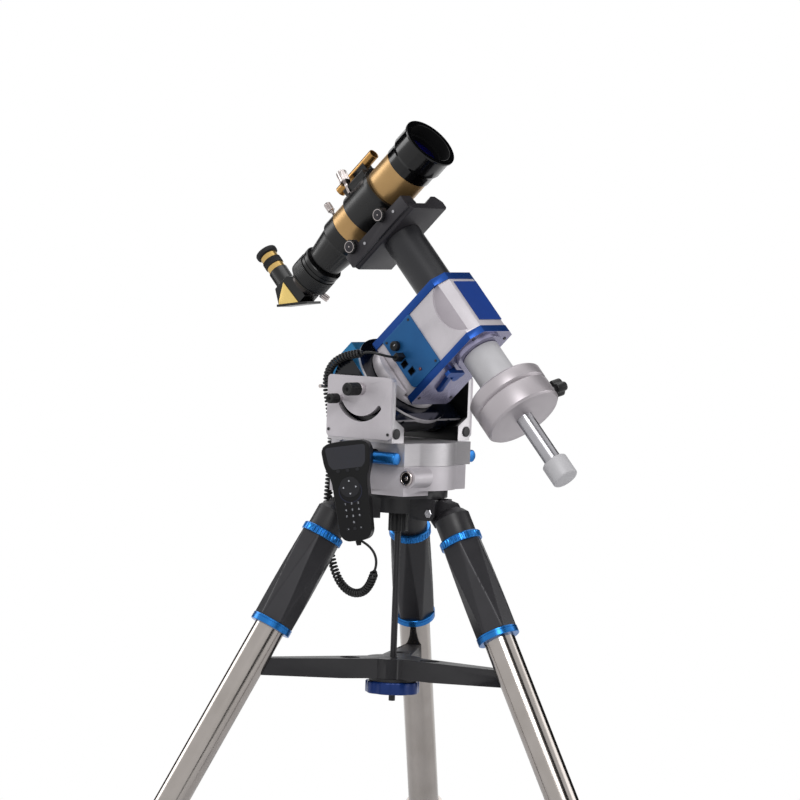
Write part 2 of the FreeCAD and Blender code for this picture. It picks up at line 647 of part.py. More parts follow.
def slot_tool(x_from, x_to):
    """A curved slot about the latitude pivot, as a solid that cuts through a wall."""
    start, end = [math.radians(a) for a in SLOT_ANGLES]
    middle = (start + end) / 2
    corners = []
    for radius in (SLOT_RADIUS - SLOT_WIDTH / 2, SLOT_RADIUS + SLOT_WIDTH / 2):
        corners.append([V(x_from, PIVOT_Y + radius * math.cos(a), PIVOT_Z + radius * math.sin(a))
                        for a in (start, middle, end)])
    inner, outer = corners
    edges = [Part.Arc(*inner).toShape(), Part.LineSegment(inner[2], outer[2]).toShape(),
             Part.Arc(*outer[::-1]).toShape(), Part.LineSegment(outer[0], inner[0]).toShape()]
    sweep = Part.Face(Part.Wire(edges)).extrude(X_AXIS * (x_to - x_from))
    ends = []
    for angle in (start, end):
        middle_y = PIVOT_Y + SLOT_RADIUS * math.cos(angle)
        middle_z = PIVOT_Z + SLOT_RADIUS * math.sin(angle)
        ends.append(rod(SLOT_WIDTH / 2, V(x_from, middle_y, middle_z), V(x_to, middle_y, middle_z)))
    return fused(sweep, *ends)


def make_fork():
    spigot = rod(SPIGOT_R, V(0, 0, LOWER_TOP - SPIGOT_LENGTH), V(0, 0, UPPER_BOTTOM))
    fork = fused(base_plan(UPPER_BOTTOM, UPPER_TOP), spigot, arm_half(-1), arm_half(1))
    cuts = [rod(ROD_CAVITY_R, V(0, 0, LOWER_TOP - SPIGOT_LENGTH), V(0, 0, ROD_TOP + 1))]
    for side in (-1, 1):
        recess = box(sorted((side * (BLOCK_X - RECESS_DEPTH), side * (BASE_R + 1))),
                     (-RECESS_HALF, RECESS_HALF), (UPPER_BOTTOM + 3, UPPER_TOP - 1))
        top_edges = [e for e in recess.Edges if abs(e.tangentAt(e.FirstParameter).x) > 0.99
                     and e.CenterOfMass.z > UPPER_TOP - 2]
        cuts.append(recess.makeFillet(14, top_edges))
    slots = slot_tool(-ARM_OUTER, -ARM_INNER)
    stud = rod(CLAMP_STUD_R + RUNNING, PIVOT - X_AXIS * ARM_OUTER, PIVOT - X_AXIS * FOOT_INNER)
    lock = V(-ARM_OUTER, *LOCK_KNOB_YZ)
    cuts += [slots, stud, rod(LOCK_NECK_R + RUNNING, lock, lock + X_AXIS * (ARM_OUTER - ARM_INNER))]
    for cutter in cuts:
        fork = fork.cut(cutter)
    node("fork", fork)

    plates = []
    for side in (-1, 1):
        x = sorted((side * ARM_OUTER, side * (ARM_OUTER + PLATE_THICKNESS)))
        plate = rounded(box(x, (ARM_FRONT, ARM_REAR), (PLATE_BOTTOM, ARM_TOP)), ARM_CORNER, X_AXIS)
        plate = plate.cut(slot_tool(x[0], x[1]))
        if side < 0:
            lock_start = V(x[0], *LOCK_KNOB_YZ)
            through = X_AXIS * PLATE_THICKNESS
            stud_start = V(x[0], PIVOT_Y, PIVOT_Z)
            plate = plate.cut([rod(CLAMP_STUD_R + RUNNING, stud_start, stud_start + through),
                               rod(LOCK_NECK_R + RUNNING, lock_start, lock_start + through)])
        plates.append(plate)
    node("side_plates", *plates)


def make_fork_fittings():
    bars, screws = [], []
    for side in (-1, 1):
        ends = [V(side * HANDLE_X, y, HANDLE_Z) for y in (-HANDLE_HALF, HANDLE_HALF)]
        bar = knob(HANDLE_R, 2 * HANDLE_HALF, ends[0], Y_AXIS, 1.5)
        foot = side * (BLOCK_X - RECESS_DEPTH)
        posts = [rod(STANDOFF_R, V(foot, y, HANDLE_Z), V(side * HANDLE_X, y, HANDLE_Z))
                 for y in (-STANDOFF_Y, STANDOFF_Y)]
        bars.append(fused(bar, *posts))
        outer = side * (ARM_OUTER + PLATE_THICKNESS)
        for y, z in SCREW_SPOTS:
            screws.append(knob(SCREW_R, SCREW_HEAD, V(outer, y, z), X_AXIS * side, 0.4))
        screws.append(knob(CAP_R, CAP_THICKNESS, V(side * CAP_X, ARM_FRONT, CAP_Z), -Y_AXIS, 0.8))
    node("carry_handles", *bars)
    node("mount_screws", *screws)

    face = PIVOT - X_AXIS * (ARM_OUTER + PLATE_THICKNESS + GAP)
    boss_end = face - X_AXIS * CLAMP_BOSS
    clamp = fused(knob(CLAMP_BOSS_R, CLAMP_BOSS, face, -X_AXIS, 1.0),
                  knob(CLAMP_KNOB_R, CLAMP_KNOB + 1, boss_end + X_AXIS, -X_AXIS, 1.5),
                  rod(CLAMP_STUD_R, face - X_AXIS, PIVOT - X_AXIS * (FOOT_INNER + 1)))
    node("latitude_knob", clamp)
    start = V(-ARM_OUTER - PLATE_THICKNESS - GAP, *LOCK_KNOB_YZ)
    knob_start = start - X_AXIS * LOCK_STANDOFF
    lock = fused(rod(LOCK_NECK_R, V(-ARM_INNER - 1, *LOCK_KNOB_YZ), knob_start - X_AXIS),
                 knob(LOCK_KNOB_R, LOCK_KNOB, knob_start, -X_AXIS, 1.5))
    node("latitude_lock", lock)


# ---------------------------------------------------------------- polar head
def make_ra_housing():
    """The blue housing that tilts for latitude: a cross barrel, a gear box above it and a front flange."""
    pivot = V(0, PIVOT_S, PIVOT_T)
    half = X_AXIS * BARREL_HALF
    barrel = rod(BARREL_R, pivot - half, pivot + half)
    behind = box((-2 * BARREL_R, 2 * BARREL_R), (-2 * BARREL_R, 2 * BARREL_R),
                 (PIVOT_T - 2 * BARREL_R, FLANGE_REAR + 4))
    upper = box((-UPPER_BOX_HALF, UPPER_BOX_HALF), (PIVOT_S, UPPER_BOX_S), (HOUSING_REAR, FLANGE_REAR + 4))
    rear_top = [e for e in upper.Edges if abs(e.tangentAt(e.FirstParameter).x) > 0.99
                and e.CenterOfMass.y > UPPER_BOX_S - 1 and e.CenterOfMass.z < HOUSING_REAR + 1]
    upper = upper.makeFillet(REAR_ROUND, rear_top)
    flange = rod(FLANGE_R, V(0, 0, FLANGE_REAR), V(0, 0, FLANGE_FRONT))
    neck = rod(SHAFT_R + 10, V(0, 0, HOUSING_REAR), V(0, 0, FLANGE_REAR))
    housing = fused(barrel.common(behind), upper, flange, neck)
    for side in (-1, 1):
        x_in, x_out = side * CAVITY_INNER, side * (BARREL_HALF - CAVITY_WALL)
        cavity = rod(CAVITY_R, pivot + X_AXIS * x_in, pivot + X_AXIS * x_out)
        cavity = cavity.common(box((-BARREL_HALF, BARREL_HALF), (-2 * BARREL_R, 2 * BARREL_R),
                                   (PIVOT_T - 2 * BARREL_R, FLANGE_REAR - 2)))
        boss = rod(PIN_BOSS_R, pivot + X_AXIS * side * (FOOT_INNER - 8), pivot + X_AXIS * x_out)
        housing = housing.cut(cavity.cut(boss))
        bore = rod(PIVOT_PIN_R + RUNNING, pivot + X_AXIS * side * (FOOT_INNER - 1.5),
                   pivot + X_AXIS * side * BARREL_HALF)
        way = pivot + X_AXIS * side * (BARREL_HALF - CAVITY_WALL) / 1.4
        cable_hole = rod(4, way, way - Y_AXIS * (BARREL_R + 2))
        housing = housing.cut(bore).cut(cable_hole.cut(rod(CAVITY_R - 2, pivot - half, pivot + half)))
    housing = housing.cut(rod(SHAFT_R + RUNNING, V(0, 0, HOUSING_REAR), V(0, 0, FLANGE_FRONT)))
    jack = V(JACK_X, JACK_S - 6, HOUSING_REAR)
    housing = housing.cut(rod(JACK_R + RUNNING, jack, jack + Z_AXIS * (JACK_THREAD + GAP)))
    cap = knob(POLAR_CAP_R, POLAR_CAP, V(0, 0, HOUSING_REAR), -Z_AXIS, 1.5)
    node("ra_housing", *in_head(housing, cap))

    stem_end = jack - Z_AXIS * JACK_STEM
    bar = rod(JACK_BAR_R, stem_end - X_AXIS * JACK_BAR / 2, stem_end + X_AXIS * JACK_BAR / 2)
    node("latitude_screw", *in_head(fused(rod(JACK_R, stem_end, jack + Z_AXIS * JACK_THREAD), bar)))


def make_ra_drum():
    """The turning polar drum with its hollow shaft; the declination housing is let into its front face."""
    drum = fused(rod(DRUM_R, V(0, 0, FLANGE_FRONT + 1), V(0, 0, DRUM_FRONT)),
                 rod(SHAFT_R, V(0, 0, SHAFT_REAR), V(0, 0, FLANGE_FRONT + 2)))
    drum = drum.cut(box(FLANGE_X, (-DEC_OUTER, DEC_OUTER), (DEC_REAR, DRUM_FRONT)))
    node("ra_drum", *in_head(drum.cut(rod(SHAFT_BORE_R, V(0, 0, SHAFT_REAR), V(0, 0, DEC_REAR)))))


def dec_outline(low, high, front, trim):
    """The housing's outline in (x, t): square at the drum, chamfered along both front edges."""
    near = DEC_CORNER - trim
    across, along = [size - trim for size in DEC_CORNER_FAR]
    return ((low + 5, DEC_REAR), (high - 5, DEC_REAR), (high, DEC_REAR + 5), (high, front - along),
            (high - across, front), (low + near, front), (low, front - near), (low, DEC_REAR + 5))


def dec_slab(s_from, s_to, trim=0.0):
    """A slice of the housing between two places along the declination axis."""
    outline = dec_outline(FLANGE_X[0] + 2 * trim, FLANGE_X[1] - 2 * trim, DEC_FRONT - trim, trim)
    return extruded([V(x, s_from, t) for x, t in outline], Y_AXIS * (s_to - s_from))


def make_dec_housing():
    left, right = [x - math.copysign(FLANGE_STEP, x) for x in FLANGE_X]
    casting = dec_slab(-DEC_INNER, DEC_INNER, FLANGE_STEP / 2)
    below = box((left, right), (-DEC_INNER, DEC_INNER), (DEC_REAR, CRESCENT_TOP))
    for face_x, inward in ((left, 1), (right, -1)):
        face = V(face_x, CRESCENT_S, CRESCENT_T)
        casting = casting.cut(rod(CRESCENT_R, face + X_AXIS * inward * CRESCENT_DEPTH, face).common(below))
    bay_x, bay_s, bay_t = MOTOR_BAY
    casting = casting.cut(box((-bay_x, bay_x), (-bay_s, bay_s), (DEC_REAR, bay_t)))
    bore = rod(DEC_SHAFT_R + RUNNING, V(0, -DEC_OUTER - SEAT_RING, 0), V(0, DEC_OUTER + 6, 0))
    sockets = []
    for s, t in SOCKETS:
        sockets.append(box((left - PANEL_THICKNESS - 1, left + SOCKET_DEPTH),
                           (s - SOCKET_SIZE[0] / 2, s + SOCKET_SIZE[0] / 2),
                           (t - SOCKET_SIZE[1] / 2, t + SOCKET_SIZE[1] / 2)))
    plug_hole = box((left - PANEL_THICKNESS - 1, left + SOCKET_DEPTH),
                    (PLUG[0] - PLUG_SIZE[0] / 2, PLUG[0] + PLUG_SIZE[0] / 2),
                    (PLUG[1] - PLUG_SIZE[1] / 2, PLUG[1] + PLUG_SIZE[1] / 2))
    axle = rod(2 + RUNNING, V(left - PANEL_THICKNESS - 1, *POWER_KNOB), V(left + 6, *POWER_KNOB))
    openings = sockets + [plug_hole, axle]
    node("dec_casting", *in_head(casting.cut([bore] + openings)))

    stud_hole = rod(LEVER_STUD_R + RUNNING, V(LEVER_PIVOT[0], -DEC_OUTER, LEVER_PIVOT[1]),
                    V(LEVER_PIVOT[0], -DEC_INNER - 1, LEVER_PIVOT[1]))
    near = dec_slab(-DEC_OUTER, -DEC_INNER).cut([bore, stud_hole])
    far = dec_slab(DEC_INNER, DEC_OUTER).cut(bore)
    ring = pipe(SEAT_RING_R, DEC_SHAFT_R + RUNNING, V(0, -DEC_OUTER - SEAT_RING, 0), V(0, -DEC_OUTER, 0))
    seat = DEC_FRONT - FLANGE_STEP / 2
    label = box(LABEL[:2], LABEL[2:], (seat, seat + LABEL_THICKNESS))
    node("dec_flanges", *in_head(near, far, ring, label))

    panel_x = (left - PANEL_THICKNESS, left)
    panel = box(panel_x, (-DEC_INNER, DEC_INNER), (PANEL_REAR, PANEL_FRONT))
    corner = [e for e in panel.Edges if abs(e.tangentAt(e.FirstParameter).x) > 0.99
              and e.CenterOfMass.y < 0 and e.CenterOfMass.z < PANEL_REAR + 1]
    panel = panel.makeFillet(PANEL_CORNER, corner).cut(openings)
    lamp = knob(LAMP_R, 2, V(panel_x[0], *LAMP), -X_AXIS, 0.5)
    cups = []
    for s, t in SOCKETS:
        half_s, half_t = SOCKET_SIZE[0] / 2, SOCKET_SIZE[1] / 2
        cup = box((panel_x[0] - 0.5, left + SOCKET_DEPTH), (s - half_s, s + half_s), (t - half_t, t + half_t))
        cups.append(cup.cut(box((panel_x[0] - 0.5, left + SOCKET_DEPTH - 1),
                                (s - half_s + 1, s + half_s - 1), (t - half_t + 1, t + half_t - 1))))
    node("connector_panel", *in_head(panel, lamp, *cups))
    face = V(panel_x[0] - GAP, *POWER_KNOB)
    power = fused(knob(POWER_KNOB_R, POWER_KNOB_HEIGHT, face, -X_AXIS, 1.0),
                  rod(2, face - X_AXIS, V(left + 6 - GAP, *POWER_KNOB)))
    node("power_knob", *in_head(power))


def make_clutch_lever():
    """The declination clutch: a finger tab and a bar on a short stud."""
    s_face = -DEC_OUTER - GAP
    pivot = V(LEVER_PIVOT[0], s_face, LEVER_PIVOT[1])
    tip = V(LEVER_TIP[0], s_face, LEVER_TIP[1])
    along = (tip - pivot).normalize()
    across = V(along.z, 0, -along.x) * LEVER_WIDTH / 2
    bar = extruded([pivot + across, tip + across, tip - across, pivot - across], -Y_AXIS * LEVER_THICKNESS)
    hub = rod(LEVER_PIVOT_R, pivot, pivot - Y_AXIS * LEVER_HEIGHT)
    tab = box(LEVER_HEAD[:2], (s_face - LEVER_HEIGHT, s_face - LEVER_HEIGHT + LEVER_TAB), LEVER_HEAD[2:])
    tab = rounded(tab, 3.0, Y_AXIS)
    stud = rod(LEVER_STUD_R, pivot + Y_AXIS * (DEC_OUTER - DEC_INNER - 1), pivot)
    node("dec_clutch_lever", *in_head(fused(hub, bar, tab, stud)))


# ---------------------------------------------------------------- declination shaft
def make_dec_shaft():
    sleeve_start = DEC_OUTER + GAP
    sleeve = pipe(SLEEVE_R, DEC_SHAFT_R, V(0, sleeve_start, 0), V(0, SLEEVE_END, 0))
    node("dec_sleeve", *in_head(sleeve))
    collar_start = -DEC_OUTER - SEAT_RING - GAP
    bar = turned([(0, SLEEVE_END), (DEC_SHAFT_R, SLEEVE_END), (DEC_SHAFT_R, collar_start),
                  (SHAFT_COLLAR_R - 1, collar_start), (SHAFT_COLLAR_R, collar_start - 1),
                  (SHAFT_COLLAR_R, SHAFT_COLLAR_END + 1), (SHAFT_COLLAR_R - 1, SHAFT_COLLAR_END),
                  (BAR_R, SHAFT_COLLAR_END), (BAR_R, BAR_END), (0, BAR_END)],
                 V(0, 0, 0), Y_AXIS)
    node("counterweight_bar", *in_head(bar))
    cap_start = BAR_END + BAR_CAP_SOCKET
    cap = knob(BAR_CAP_R, BAR_CAP, V(0, cap_start, 0), -Y_AXIS, 2.0)
    node("bar_end_cap", *in_head(cap.cut(rod(BAR_R, V(0, BAR_END, 0), V(0, cap_start, 0)))))

    discs = []
    c = WEIGHT_CHAMFER
    lock_out = V(math.cos(math.radians(WEIGHT_LOCK_ANGLE)), 0, math.sin(math.radians(WEIGHT_LOCK_ANGLE)))
    lock_start = V(0, WEIGHT_LOCK_S, 0) + lock_out * (BAR_R + GAP)
    lock_end = V(0, WEIGHT_LOCK_S, 0) + lock_out * (WEIGHT_R + WEIGHT_LOCK_NECK)
    start = WEIGHT_START
    for thickness in WEIGHT_DISCS:
        end = start - thickness
        disc = turned([(BAR_R + RUNNING, start), (WEIGHT_R - c, start), (WEIGHT_R, start - c),
                       (WEIGHT_R, end + c), (WEIGHT_R - c, end), (BAR_R + RUNNING, end)], V(0, 0, 0), Y_AXIS)
        start = end
        discs.append(disc.cut(rod(WEIGHT_LOCK_R + RUNNING, V(0, WEIGHT_LOCK_S, 0), lock_end)))
    node("counterweight", *in_head(*discs))
    lock = fused(rod(WEIGHT_LOCK_R, lock_start, lock_end),
                 knob(WEIGHT_LOCK_HEAD_R, WEIGHT_LOCK_HEAD, lock_end, lock_out, 3.0))
    node("weight_lock_knob", *in_head(lock))


def make_saddle():
    """The dovetail saddle and its groove. On -X a clamp jaw, pulled in by two knobs, forms the wall."""
    left, right = SADDLE_X
    near, far = SADDLE_CORNER, SADDLE_CORNER_FAR
    floor = SADDLE_TOP - GROOVE_DEPTH
    outline = ((left, floor), (left, SLEEVE_END + near), (left + near, SLEEVE_END),
               (right - near, SLEEVE_END), (right, SLEEVE_END + near),
               (right, SADDLE_TOP - far), (right - far, SADDLE_TOP),
               (GROOVE_TOP[1], SADDLE_TOP), (GROOVE_FLOOR[1], floor))
    saddle = extruded([V(x, s, SADDLE_REAR) for x, s in outline], Z_AXIS * (SADDLE_FRONT - SADDLE_REAR))
    node("saddle", *in_head(saddle))

    inner = left - GAP
    outer = inner - JAW_THICKNESS
    section = ((outer, JAW_BOTTOM), (inner, JAW_BOTTOM), (inner, floor + GAP), (GROOVE_FLOOR[0], floor + GAP),
               (GROOVE_TOP[0], SADDLE_TOP), (outer, SADDLE_TOP))
    jaw = extruded([V(x, s, SADDLE_REAR) for x, s in section], Z_AXIS * (SADDLE_FRONT - SADDLE_REAR))
    for t in JAW_KNOBS:
        lug = box((outer, inner), (SADDLE_TOP - 2, JAW_LUG_TOP), (t - JAW_LUG_HALF, t + JAW_LUG_HALF))
        lug = rounded(lug, 4, X_AXIS)
        jaw = fused(jaw, lug, knob(JAW_KNOB_R, JAW_KNOB + 1, V(outer + 1, JAW_KNOB_S, t), -X_AXIS, 1.0))
    node("saddle_jaw", *in_head(jaw))


# ---------------------------------------------------------------- optical tube
def on_tube(radius_up, t, x=0.0):
    """A point in (x, s, t) at a height above the optical axis."""
    return V(x, TUBE_S + radius_up, t)


def optical(profile):
    """A turned piece of the optical tube, from (radius, t) pairs."""
    return turned(profile, on_tube(0, 0), Z_AXIS)


def thumb_line(screw, s_up):
    """A point on a thumbscrew's line, at a height above the optical axis."""
    t, x, tilt, _, _, head_from, _ = screw
    return V(x + (s_up - head_from) * math.tan(math.radians(tilt)), TUBE_S + s_up, t)


def thumbscrew(screw):
    _, _, _, stem_r, head_r, head_from, head_to = screw
    start, neck, end = [thumb_line(screw, s) for s in (THUMB_START + GAP, head_from, head_to)]
    head = knob(head_r, (end - neck).Length, neck, end - neck, 1.0)
    return fused(rod(stem_r, start, neck + (end - neck) * 0.1), head)


def thumbscrew_hole(screw, s_to):
    return rod(screw[3] + RUNNING, thumb_line(screw, THUMB_START), thumb_line(screw, s_to))


def make_tube():
    shell = optical([(OTA_R - OTA_WALL, OTA_REAR), (OTA_R, OTA_REAR), (OTA_R, OTA_FRONT),
                     (OTA_R - OTA_WALL, OTA_FRONT)])
    ring_hole = thumbscrew_hole(RING_SCREW, LUG_TOP + 2)
    node("main_tube", *in_head(shell.cut(ring_hole)))

    rim_front = DEW_FRONT - DEW_RIM
    dew = optical([(OTA_R, DEW_REAR), (DEW_NECK_R, DEW_REAR), (DEW_NECK_R, OTA_FRONT), (DEW_R, DEW_STEP),
                   (DEW_R, rim_front), (DEW_RIM_R, rim_front), (DEW_RIM_R, DEW_FRONT),
                   (DEW_BORE_R, DEW_FRONT), (DEW_BORE_R, LENS_REAR + LENS_THICKNESS + LENS_BULGE + RETAINER),
                   (RETAINER_BORE_R, LENS_REAR + LENS_THICKNESS + LENS_BULGE + RETAINER),
                   (RETAINER_BORE_R, LENS_REAR + LENS_THICKNESS), (DEW_BORE_R, LENS_REAR + LENS_THICKNESS),
                   (DEW_BORE_R, OTA_FRONT), (OTA_R, OTA_FRONT)])
    node("dew_cap", *in_head(dew))

    edge = LENS_REAR + LENS_THICKNESS
    sphere_r = (RETAINER_BORE_R ** 2 + LENS_BULGE ** 2) / (2 * LENS_BULGE)
    disc = rod(DEW_BORE_R, on_tube(0, LENS_REAR), on_tube(0, edge))
    crown = rod(RETAINER_BORE_R, on_tube(0, edge - 1), on_tube(0, edge + LENS_BULGE + 1))
    crown = crown.common(Part.makeSphere(sphere_r, on_tube(0, edge + LENS_BULGE - sphere_r)))
    lens = fused(disc, crown)
    node("objective_lens", *in_head(lens))

    band_end = OTA_REAR - CELL_BAND
    inner = OTA_R - OTA_WALL
    cell = optical([(inner - 3, OTA_REAR + CELL_SPIGOT), (inner, OTA_REAR + CELL_SPIGOT), (inner, OTA_REAR),
                    (OTA_R, OTA_REAR), (OTA_R, band_end), (inner, band_end), (CELL_TAPER_R, CELL_TAPER_END),
                    (CELL_NECK_R, CELL_TAPER_END - 2), (CELL_NECK_R, CELL_NECK_END),
                    (DRAW_R + RUNNING, CELL_NECK_END), (DRAW_R + RUNNING, CELL_TAPER_END),
                    (inner - 7, band_end)])
    node("rear_cell", *in_head(cell.cut(thumbscrew_hole(CELL_SCREW, LUG_TOP))))


def make_focuser():
    """The helical focus ring and the draw tube that it drives."""
    profile = [(CELL_NECK_R + RUNNING, FOCUS_FRONT), (FOCUS_R - 1, FOCUS_FRONT), (FOCUS_R, FOCUS_FRONT - 1)]
    for t in FOCUS_GROOVES:
        profile += [(FOCUS_R, t), (FOCUS_R - 1.5, t - 0.8), (FOCUS_R, t - 1.6)]
    profile += [(FOCUS_R, FOCUS_REAR + 4), (FOCUS_R - 4, FOCUS_REAR), (DRAW_R + RUNNING, FOCUS_REAR),
                (DRAW_R + RUNNING, CELL_NECK_END - GAP), (CELL_NECK_R + RUNNING, CELL_NECK_END - GAP)]
    node("focus_ring", *in_head(optical(profile)))

    rear, front = DRAW_COLLAR
    draw = optical([(DRAW_BORE_R, DRAW_FRONT), (DRAW_R, DRAW_FRONT), (DRAW_R, front), (DRAW_COLLAR_R, front),
                    (DRAW_COLLAR_R, rear), (DRAW_BORE_R, rear)])
    way = V(DRAW_SCREW_DIRECTION[0], DRAW_SCREW_DIRECTION[1], 0).normalize()
    middle = on_tube(0, DRAW_SCREW_T)
    start, neck = middle + way * (DRAW_BORE_R + GAP), middle + way * DRAW_SCREW_NECK
    screw = fused(rod(DRAW_SCREW_R, start, neck), knob(DRAW_SCREW_HEAD_R, DRAW_SCREW_HEAD, neck, way, 0.8))
    draw = draw.cut(rod(DRAW_SCREW_R + RUNNING, middle + way * DRAW_BORE_R * 0.9, neck))
    node("draw_tube", *in_head(draw))
    node("draw_screw", *in_head(screw))


def make_diagonal():
    """The gold prism housing with its base plate, nosepiece and eyepiece holder."""
    points = [V(-DIAGONAL_HALF, TUBE_S + up, t) for t, up in DIAGONAL_OUTLINE]
    body = extruded(points, X_AXIS * 2 * DIAGONAL_HALF)
    nose = rod(DRAW_BORE_R - RUNNING, on_tube(0, DIAGONAL_NOSE_END), on_tube(0, DIAGONAL_OUTLINE[0][0] - 1))
    holder_top = V(0, TUBE_S + HOLDER_TOP, EYEPIECE_T)
    holder_start = V(0, TUBE_S + DIAGONAL_OUTLINE[3][1], EYEPIECE_T)
    holder = rod(HOLDER_R, holder_start - Y_AXIS, holder_top)
    light_way = rod(EYEPIECE_SPIGOT_R + RUNNING, holder_top - Y_AXIS * (EYEPIECE_SPIGOT + 4), holder_top)
    clear = rod(DRAW_BORE_R - 3, on_tube(0, DIAGONAL_NOSE_END), on_tube(0, DIAGONAL_OUTLINE[0][0] - 8))
    low, high = points[5], points[4]
    along = (low - high).normalize()
    out = V(0, -along.z, along.y)
    if out.y + out.z > 0:
        out = -out
    overhang = along * DIAGONAL_PLATE_OVERHANG
    corners = [high - overhang, low + overhang * 4, low + overhang * 4 + out * DIAGONAL_PLATE,
               high - overhang + out * DIAGONAL_PLATE]
    plate = extruded(corners, X_AXIS * 2 * DIAGONAL_HALF)
    collar = rod(DRAW_COLLAR_R + 2 * GAP, on_tube(0, DIAGONAL_OUTLINE[0][0]), on_tube(0, FOCUS_REAR))
    plate = plate.cut(collar)
    housing = fused(body, nose, holder).cut([light_way, clear])
    covers = []
    for side in (-1, 1):
        cover = [V(side * DIAGONAL_HALF, TUBE_S + up, t) for t, up in COVER_OUTLINE]
        covers.append(extruded(cover, X_AXIS * side * COVER_THICKNESS))
    node("diagonal", *in_head(housing, plate, *covers))

    steps = EYEPIECE_STEPS
    heights = [HOLDER_TOP + GAP]
    for step in steps:
        heights.append(heights[-1] + step)
    profile = [(0, heights[0] - EYEPIECE_SPIGOT), (EYEPIECE_SPIGOT_R, heights[0] - EYEPIECE_SPIGOT),
               (EYEPIECE_SPIGOT_R, heights[0]), (EYEPIECE_BAND_R, heights[0]), (EYEPIECE_BAND_R, heights[1]),
               (HOLDER_R, heights[1]), (HOLDER_R, heights[2]), (EYEPIECE_BAND_R, heights[2]),
               (EYEPIECE_BAND_R, heights[3]), (EYECUP_R, heights[3]), (EYECUP_R, heights[4]),
               (EYECUP_R - 4, heights[4]), (EYECUP_R - 10, heights[4] - 4), (0, heights[4] - 4)]
    node("eyepiece", *in_head(turned(profile, V(0, TUBE_S, EYEPIECE_T), Y_AXIS)))


def make_clamshell():
    """The split ring around the tube: foot below, lug above, and the posts that carry the sighting tube."""
    ring = optical([(OTA_R, CLAM_REAR), (CLAM_R, CLAM_REAR), (CLAM_R, CLAM_FRONT - CLAM_RIM),
                    (CLAM_RIM_R, CLAM_FRONT - CLAM_RIM), (CLAM_RIM_R, CLAM_FRONT), (OTA_R, CLAM_FRONT)])
    floor = SADDLE_TOP - GROOVE_DEPTH + GAP
    foot_top = floor + FOOT_HEIGHT
    slope = (GROOVE_TOP[1] - GROOVE_FLOOR[1]) / GROOVE_DEPTH
    lean = (GROOVE_TOP[0] - GROOVE_FLOOR[0]) / GROOVE_DEPTH
    left, right = GROOVE_FLOOR[0] + 2 * GAP, GROOVE_FLOOR[1] - GAP
    foot = extruded([V(x, s, FOOT_REAR) for x, s in
                     ((left, floor), (right, floor), (right + slope * (FOOT_HEIGHT - 5), foot_top - 5),
                      (right + slope * (FOOT_HEIGHT - 5), foot_top), (left + lean * FOOT_HEIGHT, foot_top))],
                    Z_AXIS * (FOOT_FRONT - FOOT_REAR))
    web = box((-LUG_HALF, LUG_HALF), (foot_top - 1, TUBE_S - OTA_R + 6), (CLAM_REAR, CLAM_FRONT - CLAM_RIM))
    lug = box((-LUG_HALF, LUG_HALF), (TUBE_S + OTA_R - 6, TUBE_S + LUG_TOP),
              (CLAM_REAR + 4, CLAM_FRONT - CLAM_RIM - 2))
    lug = rounded(lug, 3.0, Z_AXIS)
    post = box((FINDER_X - FINDER_R, FINDER_X + FINDER_R), (TUBE_S + LUG_TOP - 1, TUBE_S + FINDER_S),
               (-FINDER_POST, FINDER_POST))
    bore = rod(OTA_R, on_tube(0, FOOT_REAR - 1), on_tube(0, FOOT_FRONT + 1))
    split = box((-1, 1), (TUBE_S + OTA_R - 1, TUBE_S + LUG_TOP - 6), (CLAM_REAR, CLAM_FRONT))
    finder_seat = rod(FINDER_R, on_tube(FINDER_S, -FINDER_POST - 1, FINDER_X),
                      on_tube(FINDER_S, FINDER_POST + 1, FINDER_X))
    clam = fused(ring, foot, web, lug, post)
    cutters = [bore, split, finder_seat, thumbscrew_hole(RING_SCREW, LUG_TOP + 2)]
    node("clamshell", *in_head(clam.cut(cutters)))
    node("finder_tube", *in_head(pipe(FINDER_R, FINDER_BORE_R, on_tube(FINDER_S, FINDER_REAR, FINDER_X),
                                      on_tube(FINDER_S, FINDER_FRONT, FINDER_X))))
    node("ring_thumbscrew", *in_head(thumbscrew(RING_SCREW)))
    node("cell_thumbscrew", *in_head(thumbscrew(CELL_SCREW)))


# ---------------------------------------------------------------- handset
def handset_frame():
    """The handset's own frame: +X across to the right of its face, +Y up its length, +Z out of the face."""
    yaw = math.radians(HANDSET_YAW)
    out = V(-math.cos(yaw), -math.sin(yaw), 0)
    level = out.cross(Z_AXIS) * -1
    lean = math.radians(HANDSET_LEAN)
    across = level * math.cos(lean) + Z_AXIS * math.sin(lean)
    up = out.cross(across)
    middle = V(-HANDSET_OUT, -HANDSET_FORWARD, HANDSET_UP)
    return FreeCAD.Placement(middle, FreeCAD.Rotation(across, up, out, "ZXY"))


def key(x, y, radius=KEY_R):
    face = HANDSET_THICKNESS / 2
    sunk = KEY_DEPTH - KEY_TRAVEL - GAP
    return knob(radius, KEY_HEIGHT + sunk, V(x, y, face - sunk), Z_AXIS, 0.5)


def key_spots():
    spots = [(x, y) for y in KEY_ROWS for x in (-KEY_PITCH, 0, KEY_PITCH)]
    soft = [(x, SOFT_KEYS_W) for x in (-KEY_PITCH * 1.5, 0, KEY_PITCH * 1.5)]
    return spots + [(0, LONE_KEY_W)] + soft


